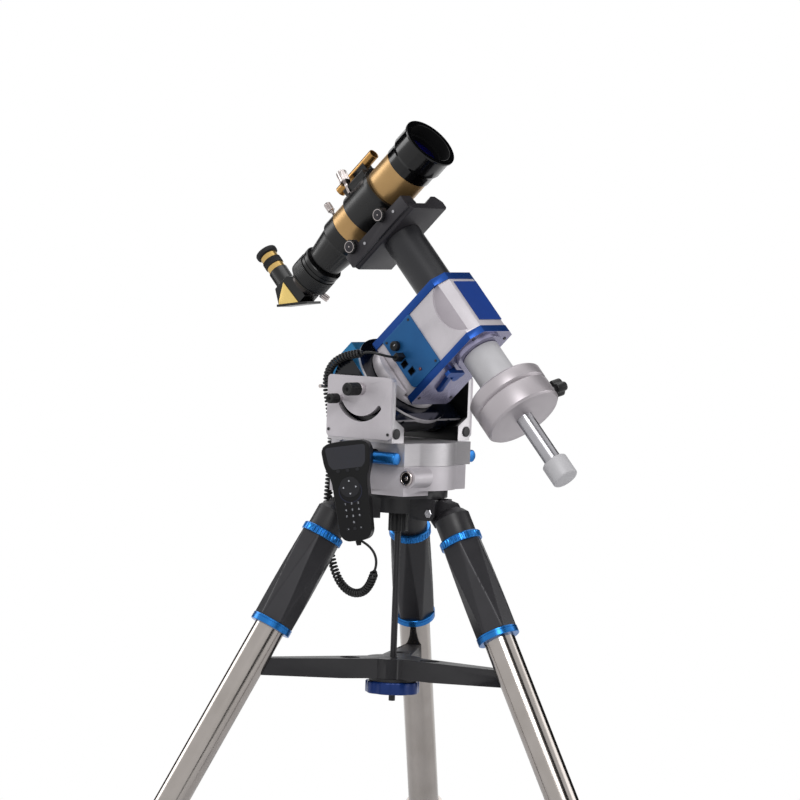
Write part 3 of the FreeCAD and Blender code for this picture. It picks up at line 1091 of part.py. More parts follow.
def make_handset():
    place = handset_frame()
    half = HANDSET_LENGTH / 2
    head, grip = HANDSET_HEAD_WIDTH / 2, HANDSET_GRIP_WIDTH / 2
    shoulder = half - HANDSET_HEAD
    back, face = -HANDSET_THICKNESS / 2, HANDSET_THICKNESS / 2
    outline = ((-head + 6, half), (head - 6, half), (head, half - 8), (head - 2, shoulder),
               (grip, shoulder - HANDSET_SHOULDER), (grip - 3, -half + 8), (grip - 10, -half),
               (-grip + 10, -half), (-grip + 3, -half + 8), (-grip, shoulder - HANDSET_SHOULDER),
               (-head + 2, shoulder), (-head, half - 8))
    case = extruded([V(x, y, back) for x, y in outline], Z_AXIS * HANDSET_THICKNESS)
    heights = [(e, e.CenterOfMass.z) for e in case.Edges]
    rim = [e for e, z in heights if abs(z - back) < 0.01 or abs(z - face) < 0.01]
    case = case.makeChamfer(2.0, rim)
    cuts = [box(WINDOW[:2], WINDOW[2:], (face - WINDOW_DEPTH, face + 1)),
            rod(ARROW_PAD_R + GAP, V(0, ARROW_PAD_W, face - KEY_DEPTH), V(0, ARROW_PAD_W, face + 1))]
    cuts += [rod(KEY_R + GAP, V(x, y, face - KEY_DEPTH), V(x, y, face + 1)) for x, y in key_spots()]
    case = case.cut(cuts)
    node("handset_arrow_pad", moved(key(0, ARROW_PAD_W, ARROW_PAD_R), place))
    node("handset_keys", *[moved(key(x, y), place) for x, y in key_spots()])

    # The hanger: a band over the carry handle and a bridge from it to the back of the case.
    handle = V(-HANDLE_X, 0, HANDLE_Z)
    inner = HANDLE_R + GAP
    outer = inner + HOOK_WALL
    y = (-HOOK_WIDTH, 0)
    band = pipe(outer, inner, handle + Y_AXIS * y[0], handle + Y_AXIS * y[1])
    band = band.cut(box((-HANDLE_X - outer, -HANDLE_X + outer), y, (HANDLE_Z - outer, HANDLE_Z)))
    reach = -HANDSET_OUT
    placed = moved(case, place)
    in_front = moved(box((-2 * head, 2 * head), (-half, half), (back, 4 * face)), place)
    bridge = box((reach, -HANDLE_X - inner), y, (HANDLE_Z - 6, HANDLE_Z + HOOK_WALL)).cut(in_front)
    bridge = bridge.cut(rod(inner, handle + Y_AXIS * y[0], handle + Y_AXIS * y[1]))
    node("handset_case", fused(placed, bridge, band))
    return place


# ---------------------------------------------------------------- cord
def cord_tube(name, radius, points):
    """A tube along straight runs joined by tangent arcs, each as large as its two runs allow."""
    edges = []
    start = points[0]
    length = 0.0
    for before, corner, after in zip(points, points[1:], points[2:]):
        into, out = corner - before, after - corner
        half_turn = into.getAngle(out) / 2
        shorter = min(into.Length, out.Length)
        bend = 0.45 * shorter / math.tan(half_turn)
        into, out = into.normalize(), out.normalize()
        cut = 0.45 * shorter
        first, last = corner - into * cut, corner + out * cut
        bisector = (out - into).normalize()
        middle = corner + bisector * (bend / math.cos(half_turn) - bend)
        edges += [Part.LineSegment(start, first).toShape(), Part.Arc(first, middle, last).toShape()]
        length += (first - start).Length + 2 * half_turn * bend
        print(f"{name}: bend radius {bend:.1f}, {bend / radius / 2:.1f} diameters, turn "
              f"{math.degrees(2 * half_turn):.0f}, run {out.Length * (after - corner).Length:.0f}")
        start = last
    edges.append(Part.LineSegment(start, points[-1]).toShape())
    length += (points[-1] - start).Length
    section = Part.Wire([Part.makeCircle(radius, points[0], points[1] - points[0])])
    tube = Part.Wire(edges).makePipeShell([section], True, False)
    print(f"{name}: length {length:.1f}, volume over section times length "
          f"{tube.Volume / (math.pi * radius ** 2 * length):.4f}")
    return tube


def clear_of(end, neighbour, distance):
    """The end of a run, drawn back toward its neighbour to clear a face of another body."""
    return end + (neighbour - end).normalize() * distance


def make_cord(handset_place):
    left = FLANGE_X[0] + FLANGE_STEP
    plug_end = left - PANEL_THICKNESS - PLUG_SIZE[2]
    half_s, half_t = PLUG_SIZE[0] / 2 - GAP, PLUG_SIZE[1] / 2 - GAP
    plug = box((plug_end, left + SOCKET_DEPTH - GAP), (PLUG[0] - half_s, PLUG[0] + half_s),
               (PLUG[1] - half_t, PLUG[1] + half_t))
    node("cord_plug", *in_head(plug))
    plug_face = HEAD_FRAME.multVec(V(plug_end, *PLUG))
    outlet = handset_place.multVec(V(0, -HANDSET_LENGTH / 2 + CORD_INSERT, 0))
    lead = [clear_of(plug_face, LEAD_ROUTE[0], PLUG_CLEARANCE), *LEAD_ROUTE,
            clear_of(COIL_ROUTE[0], LEAD_ROUTE[-1], COIL_CLEARANCE)]
    node("cord_lead", cord_tube("cord_lead", LEAD_R, lead))
    node("cord_coil", cord_tube("cord_coil", COIL_R, COIL_ROUTE))
    node("cord_tail", cord_tube("cord_tail", LEAD_R, [COIL_ROUTE[-1], *TAIL_ROUTE, outlet]))


def build():
    make_tripod_head()
    for number, angle in enumerate(LEG_ANGLES, 1):
        make_leg(number, angle)
    make_spreader()
    make_centre_rod()
    make_lower_base()
    make_fork()
    make_fork_fittings()
    make_ra_housing()
    make_ra_drum()
    make_dec_housing()
    make_clutch_lever()
    make_dec_shaft()
    make_saddle()
    make_tube()
    make_focuser()
    make_diagonal()
    make_clamshell()
    make_cord(make_handset())
    os.makedirs("parts", exist_ok=True)
    for name, shape in nodes.items():
        shape.exportStep(f"parts/{name}.step")
    print(f"{len(nodes)} nodes written")


build()
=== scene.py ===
"""A small gold refractor on a blue and silver equatorial mount, dressed for rendering.

Pieces are drawn in millimetres in the frame of what carries them and are then baked into the row frame in
metres. LEG[n] has +X outward and +Z up the leg. HEAD is (x, s, t), with s along the declination axis and t
along the polar axis. HANDSET has +Y up the handset and +Z out of its face.
"""
import json
import math
import bmesh
import bpy
from mathutils import Matrix, Vector


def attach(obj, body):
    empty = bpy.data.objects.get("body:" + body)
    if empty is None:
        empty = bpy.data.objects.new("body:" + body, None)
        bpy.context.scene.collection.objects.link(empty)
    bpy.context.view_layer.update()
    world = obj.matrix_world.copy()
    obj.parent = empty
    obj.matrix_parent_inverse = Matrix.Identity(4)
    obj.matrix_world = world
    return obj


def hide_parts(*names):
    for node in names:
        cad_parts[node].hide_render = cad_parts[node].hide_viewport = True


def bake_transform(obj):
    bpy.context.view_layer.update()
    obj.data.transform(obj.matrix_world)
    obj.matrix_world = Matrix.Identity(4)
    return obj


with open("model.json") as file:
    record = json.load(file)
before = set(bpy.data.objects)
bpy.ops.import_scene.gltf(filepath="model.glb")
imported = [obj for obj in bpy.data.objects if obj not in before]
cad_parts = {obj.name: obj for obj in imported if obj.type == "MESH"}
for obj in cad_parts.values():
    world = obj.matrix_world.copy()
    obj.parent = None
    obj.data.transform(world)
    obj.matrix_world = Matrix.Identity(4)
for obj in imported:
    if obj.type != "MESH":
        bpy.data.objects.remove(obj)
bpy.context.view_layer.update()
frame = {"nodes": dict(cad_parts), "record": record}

MM = 0.001
UP = Vector((0, 0, 1))


# ---------------------------------------------------------------- frames
def axes(x, y, z, origin):
    """A matrix from three directions and an origin in millimetres; its own unit is the millimetre."""
    turn = Matrix((x, y, z)).transposed().to_4x4()
    return Matrix.Scale(MM, 4) @ Matrix.Translation(origin) @ turn


def facing(direction, origin=(0, 0, 0)):
    """A millimetre frame whose +Z points along a direction."""
    return Matrix.Translation(origin) @ Vector(direction).to_track_quat("Z", "Y").to_matrix().to_4x4()


ROW = Matrix.Scale(MM, 4)

LATITUDE = math.radians(43.5)
POLAR = Vector((0, -math.cos(LATITUDE), math.sin(LATITUDE)))
DEC = Vector((0, math.sin(LATITUDE), math.cos(LATITUDE)))
CROSSING = Vector((0, 2, 877)) + DEC * 9.05 + POLAR * 158.4
HEAD = axes(Vector((1, 0, 0)), DEC, POLAR, CROSSING)
TUBE_S = 251.0

HINGE_RADIUS = 79.0
HINGE_Z = 680.0
LEG_TILT = math.radians(29.4)
LEG_OFFSET = 24.0
FOOT_TOP = -744.0       # a millimetre above the rubber foot, along the leg
LEG = {}
for number, degrees in enumerate((270, 30, 150), 1):
    away = math.radians(degrees)
    hinge = (HINGE_RADIUS * math.cos(away), HINGE_RADIUS * math.sin(away), HINGE_Z)
    LEG[number] = (ROW @ Matrix.Translation(hinge) @ Matrix.Rotation(away, 4, "Z")
                   @ Matrix.Rotation(-LEG_TILT, 4, "Y"))

HANDSET_YAW = math.radians(26)
HANDSET_LEAN = math.radians(9.5)
out_of_face = Vector((-math.cos(HANDSET_YAW), -math.sin(HANDSET_YAW), 0))
level = -out_of_face.cross(UP)
across_face = level * math.cos(HANDSET_LEAN) + UP * math.sin(HANDSET_LEAN)
HANDSET = axes(across_face, out_of_face.cross(across_face), out_of_face, (-144, -19, 717))


# ---------------------------------------------------------------- camera
def place_camera():
    """A camera 8 m away, turned and rolled as the three angles say."""
    azimuth, elevation, roll = (math.radians(a) for a in (-51.3, 3.0, 2.1))
    back = Vector((math.sin(azimuth) * math.cos(elevation), -math.cos(azimuth) * math.cos(elevation),
                   math.sin(elevation)))
    level_right = Vector((math.cos(azimuth), math.sin(azimuth), 0))
    level_up = back.cross(level_right)
    right = level_right * math.cos(roll) + level_up * math.sin(roll)
    up = level_up * math.cos(roll) - level_right * math.sin(roll)
    target = right * -0.0044 + Vector((0, 0, 0.8573))
    data = bpy.data.cameras.new("camera")
    data.sensor_width = 36
    data.lens = 223.2
    data.clip_end = 100
    camera = bpy.data.objects.new("camera", data)
    turn = Matrix((right, up, back)).transposed().to_4x4()
    camera.matrix_world = Matrix.Translation(target + back * 8) @ turn
    bpy.context.scene.collection.objects.link(camera)
    bpy.context.scene.camera = camera


place_camera()


# ---------------------------------------------------------------- materials
def colour(code):
    """A hex sRGB colour as linear RGBA."""
    channels = [int(code[i:i + 2], 16) / 255 for i in (1, 3, 5)]
    return [c / 12.92 if c <= 0.04045 else ((c + 0.055) / 1.055) ** 2.4 for c in channels] + [1.0]


def add_node(tree, kind, links=None, values=None, **settings):
    """Add a shader node with its properties and socket values, and link other nodes' sockets to it."""
    node = tree.nodes.new("ShaderNode" + kind)
    for name, value in settings.items():
        setattr(node, name, value)
    for socket, value in (values or {}).items():
        node.inputs[socket].default_value = value
    for socket, source in (links or {}).items():
        tree.links.new(source, node.inputs[socket])
    return node


CLOUD = 40.0            # millimetres across the faint clouds that every surface has


def finish(name, base, metallic, roughness, grain, depth, shade=None, spread=0.06, stretch=(1, 1, 1),
           turn=None, rings=False, **shader):
    """A surface with a grain of a real size in millimetres and a relief of a real depth in millimetres.

    The grain also moves the roughness by the spread and the colour toward the shade. stretch scales the grain
    along each axis of the frame given by turn, and rings makes it run round that frame's +Z axis.
    """
    material = bpy.data.materials.new(name)
    material.use_nodes = True
    tree = material.node_tree
    principled = tree.nodes["Principled BSDF"]
    place = add_node(tree, "TexCoord").outputs["Object"]
    if turn is not None:
        to_frame = turn.inverted()
        place = add_node(tree, "Mapping", {"Vector": place}, {
            "Location": to_frame.to_translation() * MM, "Rotation": to_frame.to_euler()}).outputs[0]
    if rings:
        flat = add_node(tree, "VectorMath", {0: place}, {1: (1, 1, 0)}, operation="MULTIPLY").outputs[0]
        radius = add_node(tree, "VectorMath", {0: flat}, operation="LENGTH").outputs["Value"]
        place = add_node(tree, "CombineXYZ", {"X": radius}).outputs[0]
    else:
        place = add_node(tree, "VectorMath", {0: place}, {1: stretch}, operation="MULTIPLY").outputs[0]
    fine = add_node(tree, "TexNoise", {"Vector": place},
                    {"Scale": 1 / (grain * MM), "Detail": 3.0}).outputs["Fac"]
    broad = add_node(tree, "TexNoise", {"Vector": place},
                     {"Scale": 1 / (CLOUD * MM), "Detail": 2.0}).outputs["Fac"]
    both = add_node(tree, "Math", {0: fine, 1: broad}, operation="ADD").outputs[0]
    rough = add_node(tree, "MapRange", {"Value": both}, {
        "From Min": 0.6, "From Max": 1.4, "To Min": max(roughness - spread, 0.02),
        "To Max": roughness + spread})
    tree.links.new(rough.outputs[0], principled.inputs["Roughness"])
    tint = add_node(tree, "Mix", {0: both}, {6: colour(base), 7: colour(shade or base)}, data_type="RGBA")
    half = add_node(tree, "MapRange", {"Value": both}, {"From Min": 0.7, "From Max": 1.3, "To Max": 0.8})
    tree.links.new(half.outputs[0], tint.inputs[0])
    tree.links.new(tint.outputs[2], principled.inputs["Base Color"])
    bump = add_node(tree, "Bump", {"Height": fine}, {"Distance": depth * MM, "Strength": 0.6})
    tree.links.new(bump.outputs[0], principled.inputs["Normal"])
    principled.inputs["Metallic"].default_value = metallic
    for socket, value in shader.items():
        principled.inputs[socket.replace("_", " ")].default_value = value
    return material


# Powder-coated castings: a fine pebble and a soft broad highlight.
silver_paint = finish("silver_powder_coat", "#C8C3C8", 0.3, 0.42, 0.9, 0.02, "#B8B3B8")
# A darker copy of the silver coat is painted shade for the round recess in the casting.
silver_recess_painted_shade = finish("silver_powder_coat_recess_painted_shade", "#A9A2A9", 0.3, 0.46, 0.9, 0.02, "#9D969D")
# Anodised and clear-coated aluminium, brushed level round the base.
brushed_alloy = finish("brushed_anodised_aluminium", "#C4C1C4", 0.55, 0.34, 0.5, 0.015, "#B2AFB2",
                       stretch=(0.04, 0.04, 1))
# Lathe-turned weights: fine rings round the bar on their faces.
turned_alloy = finish("turned_aluminium", "#B8B2B6", 0.6, 0.4, 0.45, 0.02, "#A39DA1",
                      turn=HEAD @ facing((0, -1, 0)), rings=True)
# Bead-blasted collar: pale, even and almost without a highlight.
blasted_alloy = finish("bead_blasted_aluminium", "#BEBDC0", 0.2, 0.55, 0.4, 0.02, "#B0AFB2")
# Drawn stainless tube: a mirror with faint lines along it.
drawn_steel = finish("polished_stainless_steel", "#A8A29E", 1.0, 0.16, 0.6, 0.004, "#98928D", spread=0.04)
ground_steel = finish("ground_steel_bar", "#A9A8AC", 0.9, 0.28, 0.5, 0.004, "#97969A", spread=0.05)
bright_nickel = finish("bright_nickel", "#B4ACAA", 1.0, 0.2, 0.5, 0.003, spread=0.03)
# Nickel darkened as painted shade where the draw tube and the nosepiece meet in the shade.
nickel_painted_shade = finish("nickel_painted_shade", "#3E3A39", 0.8, 0.3, 0.5, 0.004, "#34302F")
# Blue anodising: a metal under a deep dye, lighter where it was polished first.
blue_flange = finish("blue_anodised_casting", "#1A4690", 0.6, 0.34, 0.7, 0.01, "#163C7E",
                     Specular_IOR_Level=0.25)
blue_cover = finish("blue_anodised_cover", "#24709F", 0.6, 0.32, 0.7, 0.01, "#1E618B", Specular_IOR_Level=0.3)
blue_panel = finish("blue_printed_panel", "#1F5C92", 0.4, 0.38, 0.5, 0.008, "#1B5083", Specular_IOR_Level=0.3)
blue_label = finish("blue_label_film", "#1E3F8C", 0.1, 0.35, 0.5, 0.004, "#1B387C", Specular_IOR_Level=0.25)
blue_ring = finish("blue_anodised_ring", "#2474BE", 0.8, 0.26, 0.5, 0.006, "#1F66A8")
blue_wheel = finish("blue_enamelled_wheel", "#10306E", 0.3, 0.3, 0.8, 0.01, "#0D285E", Specular_IOR_Level=0.3)
lilac_gloss = finish("pale_anodised_face", "#8F8CA6", 0.6, 0.25, 0.8, 0.006, "#837F9A")
# Gold anodising over a finely turned tube.
gold_anodised = finish("champagne_gold_anodising", "#B08E5E", 0.75, 0.34, 0.5, 0.01, "#A07F52")
polished_brass = finish("polished_brass", "#A8814C", 0.9, 0.28, 0.5, 0.004, "#96713F")
pale_gold = finish("pale_gold_anodising", "#CBAA68", 0.8, 0.25, 0.5, 0.004, "#BB9A5A")
gold_cover = finish("gold_plated_cover", "#EACD7C", 0.55, 0.24, 0.5, 0.003, "#DEBE6C")
# Black enamel: gloss with a little waviness.
gloss_enamel = finish("gloss_black_enamel", "#040405", 0.0, 0.14, 3.0, 0.01, "#060607",
                      Specular_IOR_Level=0.3)
# Near-black navy on the housing's barrel is painted shade: the casting itself is blue.
navy_painted_shade = finish("navy_gloss_painted_shade", "#04060E", 0.0, 0.16, 2.5, 0.008, "#060914",
                     Specular_IOR_Level=0.35)
satin_enamel = finish("satin_black_enamel", "#080809", 0.0, 0.3, 1.5, 0.008, "#0B0B0C",
                      Specular_IOR_Level=0.35)
satin_black = finish("satin_black_paint", "#19181B", 0.0, 0.42, 0.7, 0.02, "#212023", Specular_IOR_Level=0.4)
grip_black = finish("black_anodised_grip", "#201F23", 0.35, 0.4, 0.6, 0.012, "#28272B")
charcoal = finish("charcoal_anodising", "#302E32", 0.3, 0.42, 0.6, 0.015, "#29272B", Specular_IOR_Level=0.3)
sleeve_black = finish("black_anodised_sleeve", "#222226", 0.25, 0.38, 0.6, 0.012, "#1C1C1F")
matt_black = finish("matt_flocked_lining", "#050506", 0.0, 0.7, 0.4, 0.03, "#080809", Specular_IOR_Level=0.1)
# Moulded plastics and rubber: a fine spark-eroded grain.
moulded_black = finish("moulded_black_abs", "#0F0F10", 0.0, 0.46, 0.35, 0.03, "#141416",
                       Specular_IOR_Level=0.3)
handset_abs = finish("handset_abs", "#070708", 0.0, 0.38, 0.35, 0.02, "#0B0B0D", Specular_IOR_Level=0.2)
faceplate_blue = finish("handset_face_trim", "#0E1024", 0.0, 0.3, 0.6, 0.004, "#12142C",
                        Specular_IOR_Level=0.3)
key_rubber = finish("keypad_rubber", "#19191C", 0.0, 0.5, 0.3, 0.015, "#202024", Specular_IOR_Level=0.25)
cord_jacket = finish("cable_jacket", "#0D0D0E", 0.0, 0.4, 0.5, 0.01, "#131314", Specular_IOR_Level=0.35)
rubber = finish("ribbed_rubber", "#101012", 0.0, 0.6, 0.3, 0.02, "#161618", Specular_IOR_Level=0.25)
window_glass = finish("tinted_display_window", "#0B0D1E", 0.0, 0.1, 4.0, 0.002, "#0A0B18",
                      Specular_IOR_Level=0.5)
white_ink = finish("white_screen_ink", "#C9CBD2", 0.0, 0.5, 0.4, 0.004, "#B6B8C0")
red_lamp = finish("red_lamp_lens", "#5A1014", 0.0, 0.15, 2.0, 0.002)
coated_lens = finish("coated_objective_glass", "#0C0A2A", 0.0, 0.04, 8.0, 0.0, "#17104A", spread=0.01,
                     Coat_Weight=1.0, Coat_Tint=(0.35, 0.3, 1.0, 1.0))


# ---------------------------------------------------------------- making pieces
def keep(name, bm, body, materials, place=ROW, stands_for=(), sharp=32):
    """Bake a bmesh into the row frame and make it a piece that rides on a body."""
    bmesh.ops.transform(bm, matrix=place, verts=bm.verts)
    mesh = bpy.data.meshes.new(name)
    bm.to_mesh(mesh)
    bm.free()
    for material in materials if isinstance(materials, (list, tuple)) else [materials]:
        mesh.materials.append(material)
    mesh.shade_smooth()
    mesh.set_sharp_from_angle(angle=math.radians(sharp))
    piece = bpy.data.objects.new(name, mesh)
    bpy.context.scene.collection.objects.link(piece)
    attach(piece, body)
    if stands_for:
        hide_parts(*stands_for)
    return piece


body_of = {node: body for body, members in frame["record"]["behaviour"]["bodies"].items() for node in members}


def bevel_edges(bm, edges, width, segments=2):
    bmesh.ops.bevel(bm, geom=edges, offset=width, offset_type="OFFSET", affect="EDGES", segments=segments,
                    profile=0.5, material=-1, clamp_overlap=True)


def dress(node, materials, bevel=0.8, paint=None, place=ROW):
    """A merged copy of a CAD node with its hard edges broken. paint picks a material for a face's centre.

    The centre is given in the millimetres of the frame in place.
    """
    bm = bmesh.new()
    bm.from_mesh(frame["nodes"][node].data)
    bmesh.ops.transform(bm, matrix=place.inverted(), verts=bm.verts)
    bmesh.ops.remove_doubles(bm, verts=bm.verts, dist=0.004)
    bmesh.ops.dissolve_limit(bm, angle_limit=math.radians(0.3), verts=bm.verts, edges=bm.edges)
    if bevel:
        hard = [e for e in bm.edges if len(e.link_faces) == 2 and e.calc_face_angle() > math.radians(38)
                and e.calc_length() > 0.4]
        bevel_edges(bm, hard, bevel)
    if paint:
        for face in bm.faces:
            face.material_index = paint(face.calc_center_median())
    return keep(node + "_skin", bm, body_of[node], materials, place, [node], 25)


def turned(profile, steps=72):
    """A closed solid of revolution about +Z from (radius, height) pairs that start and end on the axis."""
    bm = bmesh.new()
    verts = [bm.verts.new((radius, 0, height)) for radius, height in profile]
    edges = [bm.edges.new(pair) for pair in zip(verts, verts[1:])]
    bmesh.ops.spin(bm, geom=verts + edges, cent=(0, 0, 0), axis=(0, 0, 1), angle=2 * math.pi, steps=steps,
                   use_merge=True)
    bmesh.ops.remove_doubles(bm, verts=bm.verts, dist=0.001)
    bmesh.ops.recalc_face_normals(bm, faces=bm.faces)
    return bm


def ring(profile, steps=96):
    """A closed ring about +Z from a closed outline of (radius, height) pairs."""
    bm = bmesh.new()
    verts = [bm.verts.new((radius, 0, height)) for radius, height in profile]
    edges = [bm.edges.new(pair) for pair in zip(verts, verts[1:] + verts[:1])]
    bmesh.ops.spin(bm, geom=verts + edges, cent=(0, 0, 0), axis=(0, 0, 1), angle=2 * math.pi, steps=steps,
                   use_merge=True)
    bmesh.ops.remove_doubles(bm, verts=bm.verts, dist=0.001)
    bmesh.ops.recalc_face_normals(bm, faces=bm.faces)
    return bm


def groove(bm, count, depth, low, high, inner=0.0, share=0.5):
    """Press axial grooves into the outer wall between two heights, where share of a pitch stays proud."""
    for vert in bm.verts:
        radius = math.hypot(vert.co.x, vert.co.y)
        if low <= vert.co.z <= high and radius > inner:
            pitch = (math.atan2(vert.co.y, vert.co.x) * count / (2 * math.pi) + 0.25) % 1
            if pitch > share:
                vert.co.xy *= (radius - depth) / radius


def lobed(radius, height, count, depth, edge=1.5, steps=12):
    """A knob head with round lobes, standing on z 0."""
    bm = bmesh.new()
    bmesh.ops.create_circle(bm, cap_ends=True, radius=radius, segments=count * steps)
    for vert in bm.verts:
        wave = (1 - math.cos(math.atan2(vert.co.y, vert.co.x) * count)) / 2
        vert.co.xy *= 1 - depth / radius * wave ** 1.6
    base = bm.faces[:]
    top = bmesh.ops.extrude_face_region(bm, geom=base)
    lifted = [v for v in top["geom"] if isinstance(v, bmesh.types.BMVert)]
    bmesh.ops.translate(bm, vec=(0, 0, height), verts=lifted)
    bmesh.ops.recalc_face_normals(bm, faces=bm.faces)
    rims = [e for e in bm.edges if abs(e.verts[0].co.z - e.verts[1].co.z) < 1e-4]
    bevel_edges(bm, rims, edge, 3)
    return bm


def joined(*parts):
    """One bmesh from (bmesh, frame) pairs; a third item sets the material index."""
    whole = bmesh.new()
    for part in parts:
        bm, place = part[:2]
        if len(part) > 2:
            for face in bm.faces:
                face.material_index = part[2]
        bmesh.ops.transform(bm, matrix=place, verts=bm.verts)
        mesh = bpy.data.meshes.new("part")
        bm.to_mesh(mesh)
        bm.free()
        whole.from_mesh(mesh)
        bpy.data.meshes.remove(mesh)
    return whole


def slab(outline, low, high, corner=0.0, rim=0.0, segments=4):
    """A plate from an outline of (x, y), with rounded corners and rims."""
    bm = bmesh.new()
    verts = [bm.verts.new((x, y, low)) for x, y in outline]
    bm.faces.new(verts)
    if corner:
        bmesh.ops.bevel(bm, geom=bm.verts[:], offset=corner, offset_type="OFFSET", affect="VERTICES",
                        segments=segments, profile=0.5, material=-1, clamp_overlap=True)
    top = bmesh.ops.extrude_face_region(bm, geom=bm.faces[:])
    lifted = [v for v in top["geom"] if isinstance(v, bmesh.types.BMVert)]
    bmesh.ops.translate(bm, vec=(0, 0, high - low), verts=lifted)
    bmesh.ops.recalc_face_normals(bm, faces=bm.faces)
    if rim:
        rims = [e for e in bm.edges if abs(e.verts[0].co.z - e.verts[1].co.z) < 1e-4]
        bevel_edges(bm, rims, rim, segments)
    return bm


# ---------------------------------------------------------------- cord
LEAD_POINTS = ((-72, -30, 929.4), (-85, -27, 931.5), (-95, -20, 934.5), (-99.2, -7.8, 936.3))
COIL_POINTS = ((-99, 4, 934.2), (-99, 26, 931), (-99.5, 48, 925), (-97.5, 68, 914), (-91.5, 83.5, 896.5),
               (-83.5, 91, 873), (-75, 88.5, 838), (-69, 87, 790), (-69, 89.5, 732), (-71, 92, 672),
               (-69.5, 86, 612), (-72, 63, 562), (-79, 24, 543), (-91, -20, 557), (-105, -40, 590))
TAIL_POINTS = ((-109.1, -45.8, 599.6), (-114.7, -49.1, 610.9), (-121.4, -48, 622.5), (-130.5, -41.3, 633.5))
WIRE = 4.2              # diameter of the cable
COIL_TURN_RADIUS = 5.3  # middle of the wire's turns
COIL_PITCH = 6.1
POINTS_PER_TURN = 12


def spline(points):
    """A curve of one open smooth spline through control points in metres."""
    curve = bpy.data.curves.new("route", "CURVE")
    curve.dimensions = "3D"
    line = curve.splines.new("NURBS")
    line.points.add(len(points) - 1)
    for target, point in zip(line.points, points):
        target.co = (*point, 1)
    line.order_u = 3
    line.use_endpoint_u = True
    return curve


def as_mesh(curve):
    holder = bpy.data.objects.new(curve.name, curve)
    mesh = bpy.data.meshes.new_from_object(holder)
    bpy.data.objects.remove(holder)
    bpy.data.curves.remove(curve)
    return mesh


def smooth_line(points, resolution=16):
    """Points along the smooth spline that has the given control points, all in metres."""
    curve = spline(points)
    curve.resolution_u = resolution
    mesh = as_mesh(curve)
    line = [vert.co.copy() for vert in mesh.vertices]
    bpy.data.meshes.remove(mesh)
    return line


def cable(name, points, stands_for, bodies, start, end, **facts):
    """A cable along a spline. The bodies, start and end point, in millimetres, are not used."""
    curve = spline(points)
    curve.bevel_depth = WIRE / 2 * MM
    curve.bevel_resolution = 3
    curve.resolution_u = 3
    curve.use_fill_caps = True
    mesh = as_mesh(curve)
    mesh.materials.clear()
    mesh.materials.append(cord_jacket)
    mesh.shade_smooth()
    piece = bpy.data.objects.new(name, mesh)
    bpy.context.scene.collection.objects.link(piece)
    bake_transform(piece)
    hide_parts(*stands_for)
    path = smooth_line(points, 3)
    lengths_along(path)[-1]


def lengths_along(line):
    total, marks = 0.0, [0.0]
    for before, after in zip(line, line[1:]):
        total += (after - before).length
        marks.append(total)
    return marks


def curled(line, taper):
    """A helix round a line, whose turns grow from and shrink to the line over a length at each end."""
    marks = lengths_along(line)
    step = COIL_PITCH * MM / POINTS_PER_TURN
    side = (line[1] - line[0]).normalized().orthogonal().normalized()
    helix, index = [], 0
    for count in range(int(marks[-1] / step)):
        reach = count * step
        while marks[index + 1] < reach:
            index += 1
        share = (reach - marks[index]) / (marks[index + 1] - marks[index])
        centre = line[index].lerp(line[index + 1], share)
        along = (line[index + 1] - line[index]).normalized()
        side = (side - along * side.dot(along)).normalized()
        grown = min(1.0, reach / taper, (marks[-1] - reach) / taper)
        turn = Matrix.Rotation(2 * math.pi * count / POINTS_PER_TURN, 3, along)
        helix.append(centre + turn @ side * COIL_TURN_RADIUS * MM * max(grown, 0.02))
    return helix


def make_cords():
    plug_face = HEAD @ Vector((-62, 6, -99))
    outlet = HANDSET @ Vector((0, -78, 0))
    lead = [Vector(point) * MM for point in (*LEAD_POINTS, COIL_POINTS[0])]
    coil = [Vector(point) * MM for point in COIL_POINTS]
    tail = [Vector(point) * MM for point in TAIL_POINTS]
    cable("cord_lead_line", [plug_face] + lead, ["cord_lead"], ("polar_housing", "polar_head"),
          (-98, -14, 935), plug_face / MM, lay="hanging", with_pieces=["cord_plug"])
    cable("curly_cord", curled(smooth_line(coil), 9 * MM) + tail + [outlet], ["cord_coil", "cord_tail"],
          ("fork", "polar_housing"), (-92, 83, 896), (-99, 15, 933), lay="coiled")


make_cords()


# ---------------------------------------------------------------- tripod
LOCK_Z = -651.0


def leg_zone(centre):
    """0 the elbow, 1 the steel tube, 2 the clamp collar."""
    radius = math.hypot(centre.x - LEG_OFFSET, centre.y)
    if centre.z > -67.1 and (radius > 25.5 or centre.z > -29):
        return 0
    if centre.z < -617.9 and (radius > 25.5 or centre.z < -640.5):
        return 2
    return 1


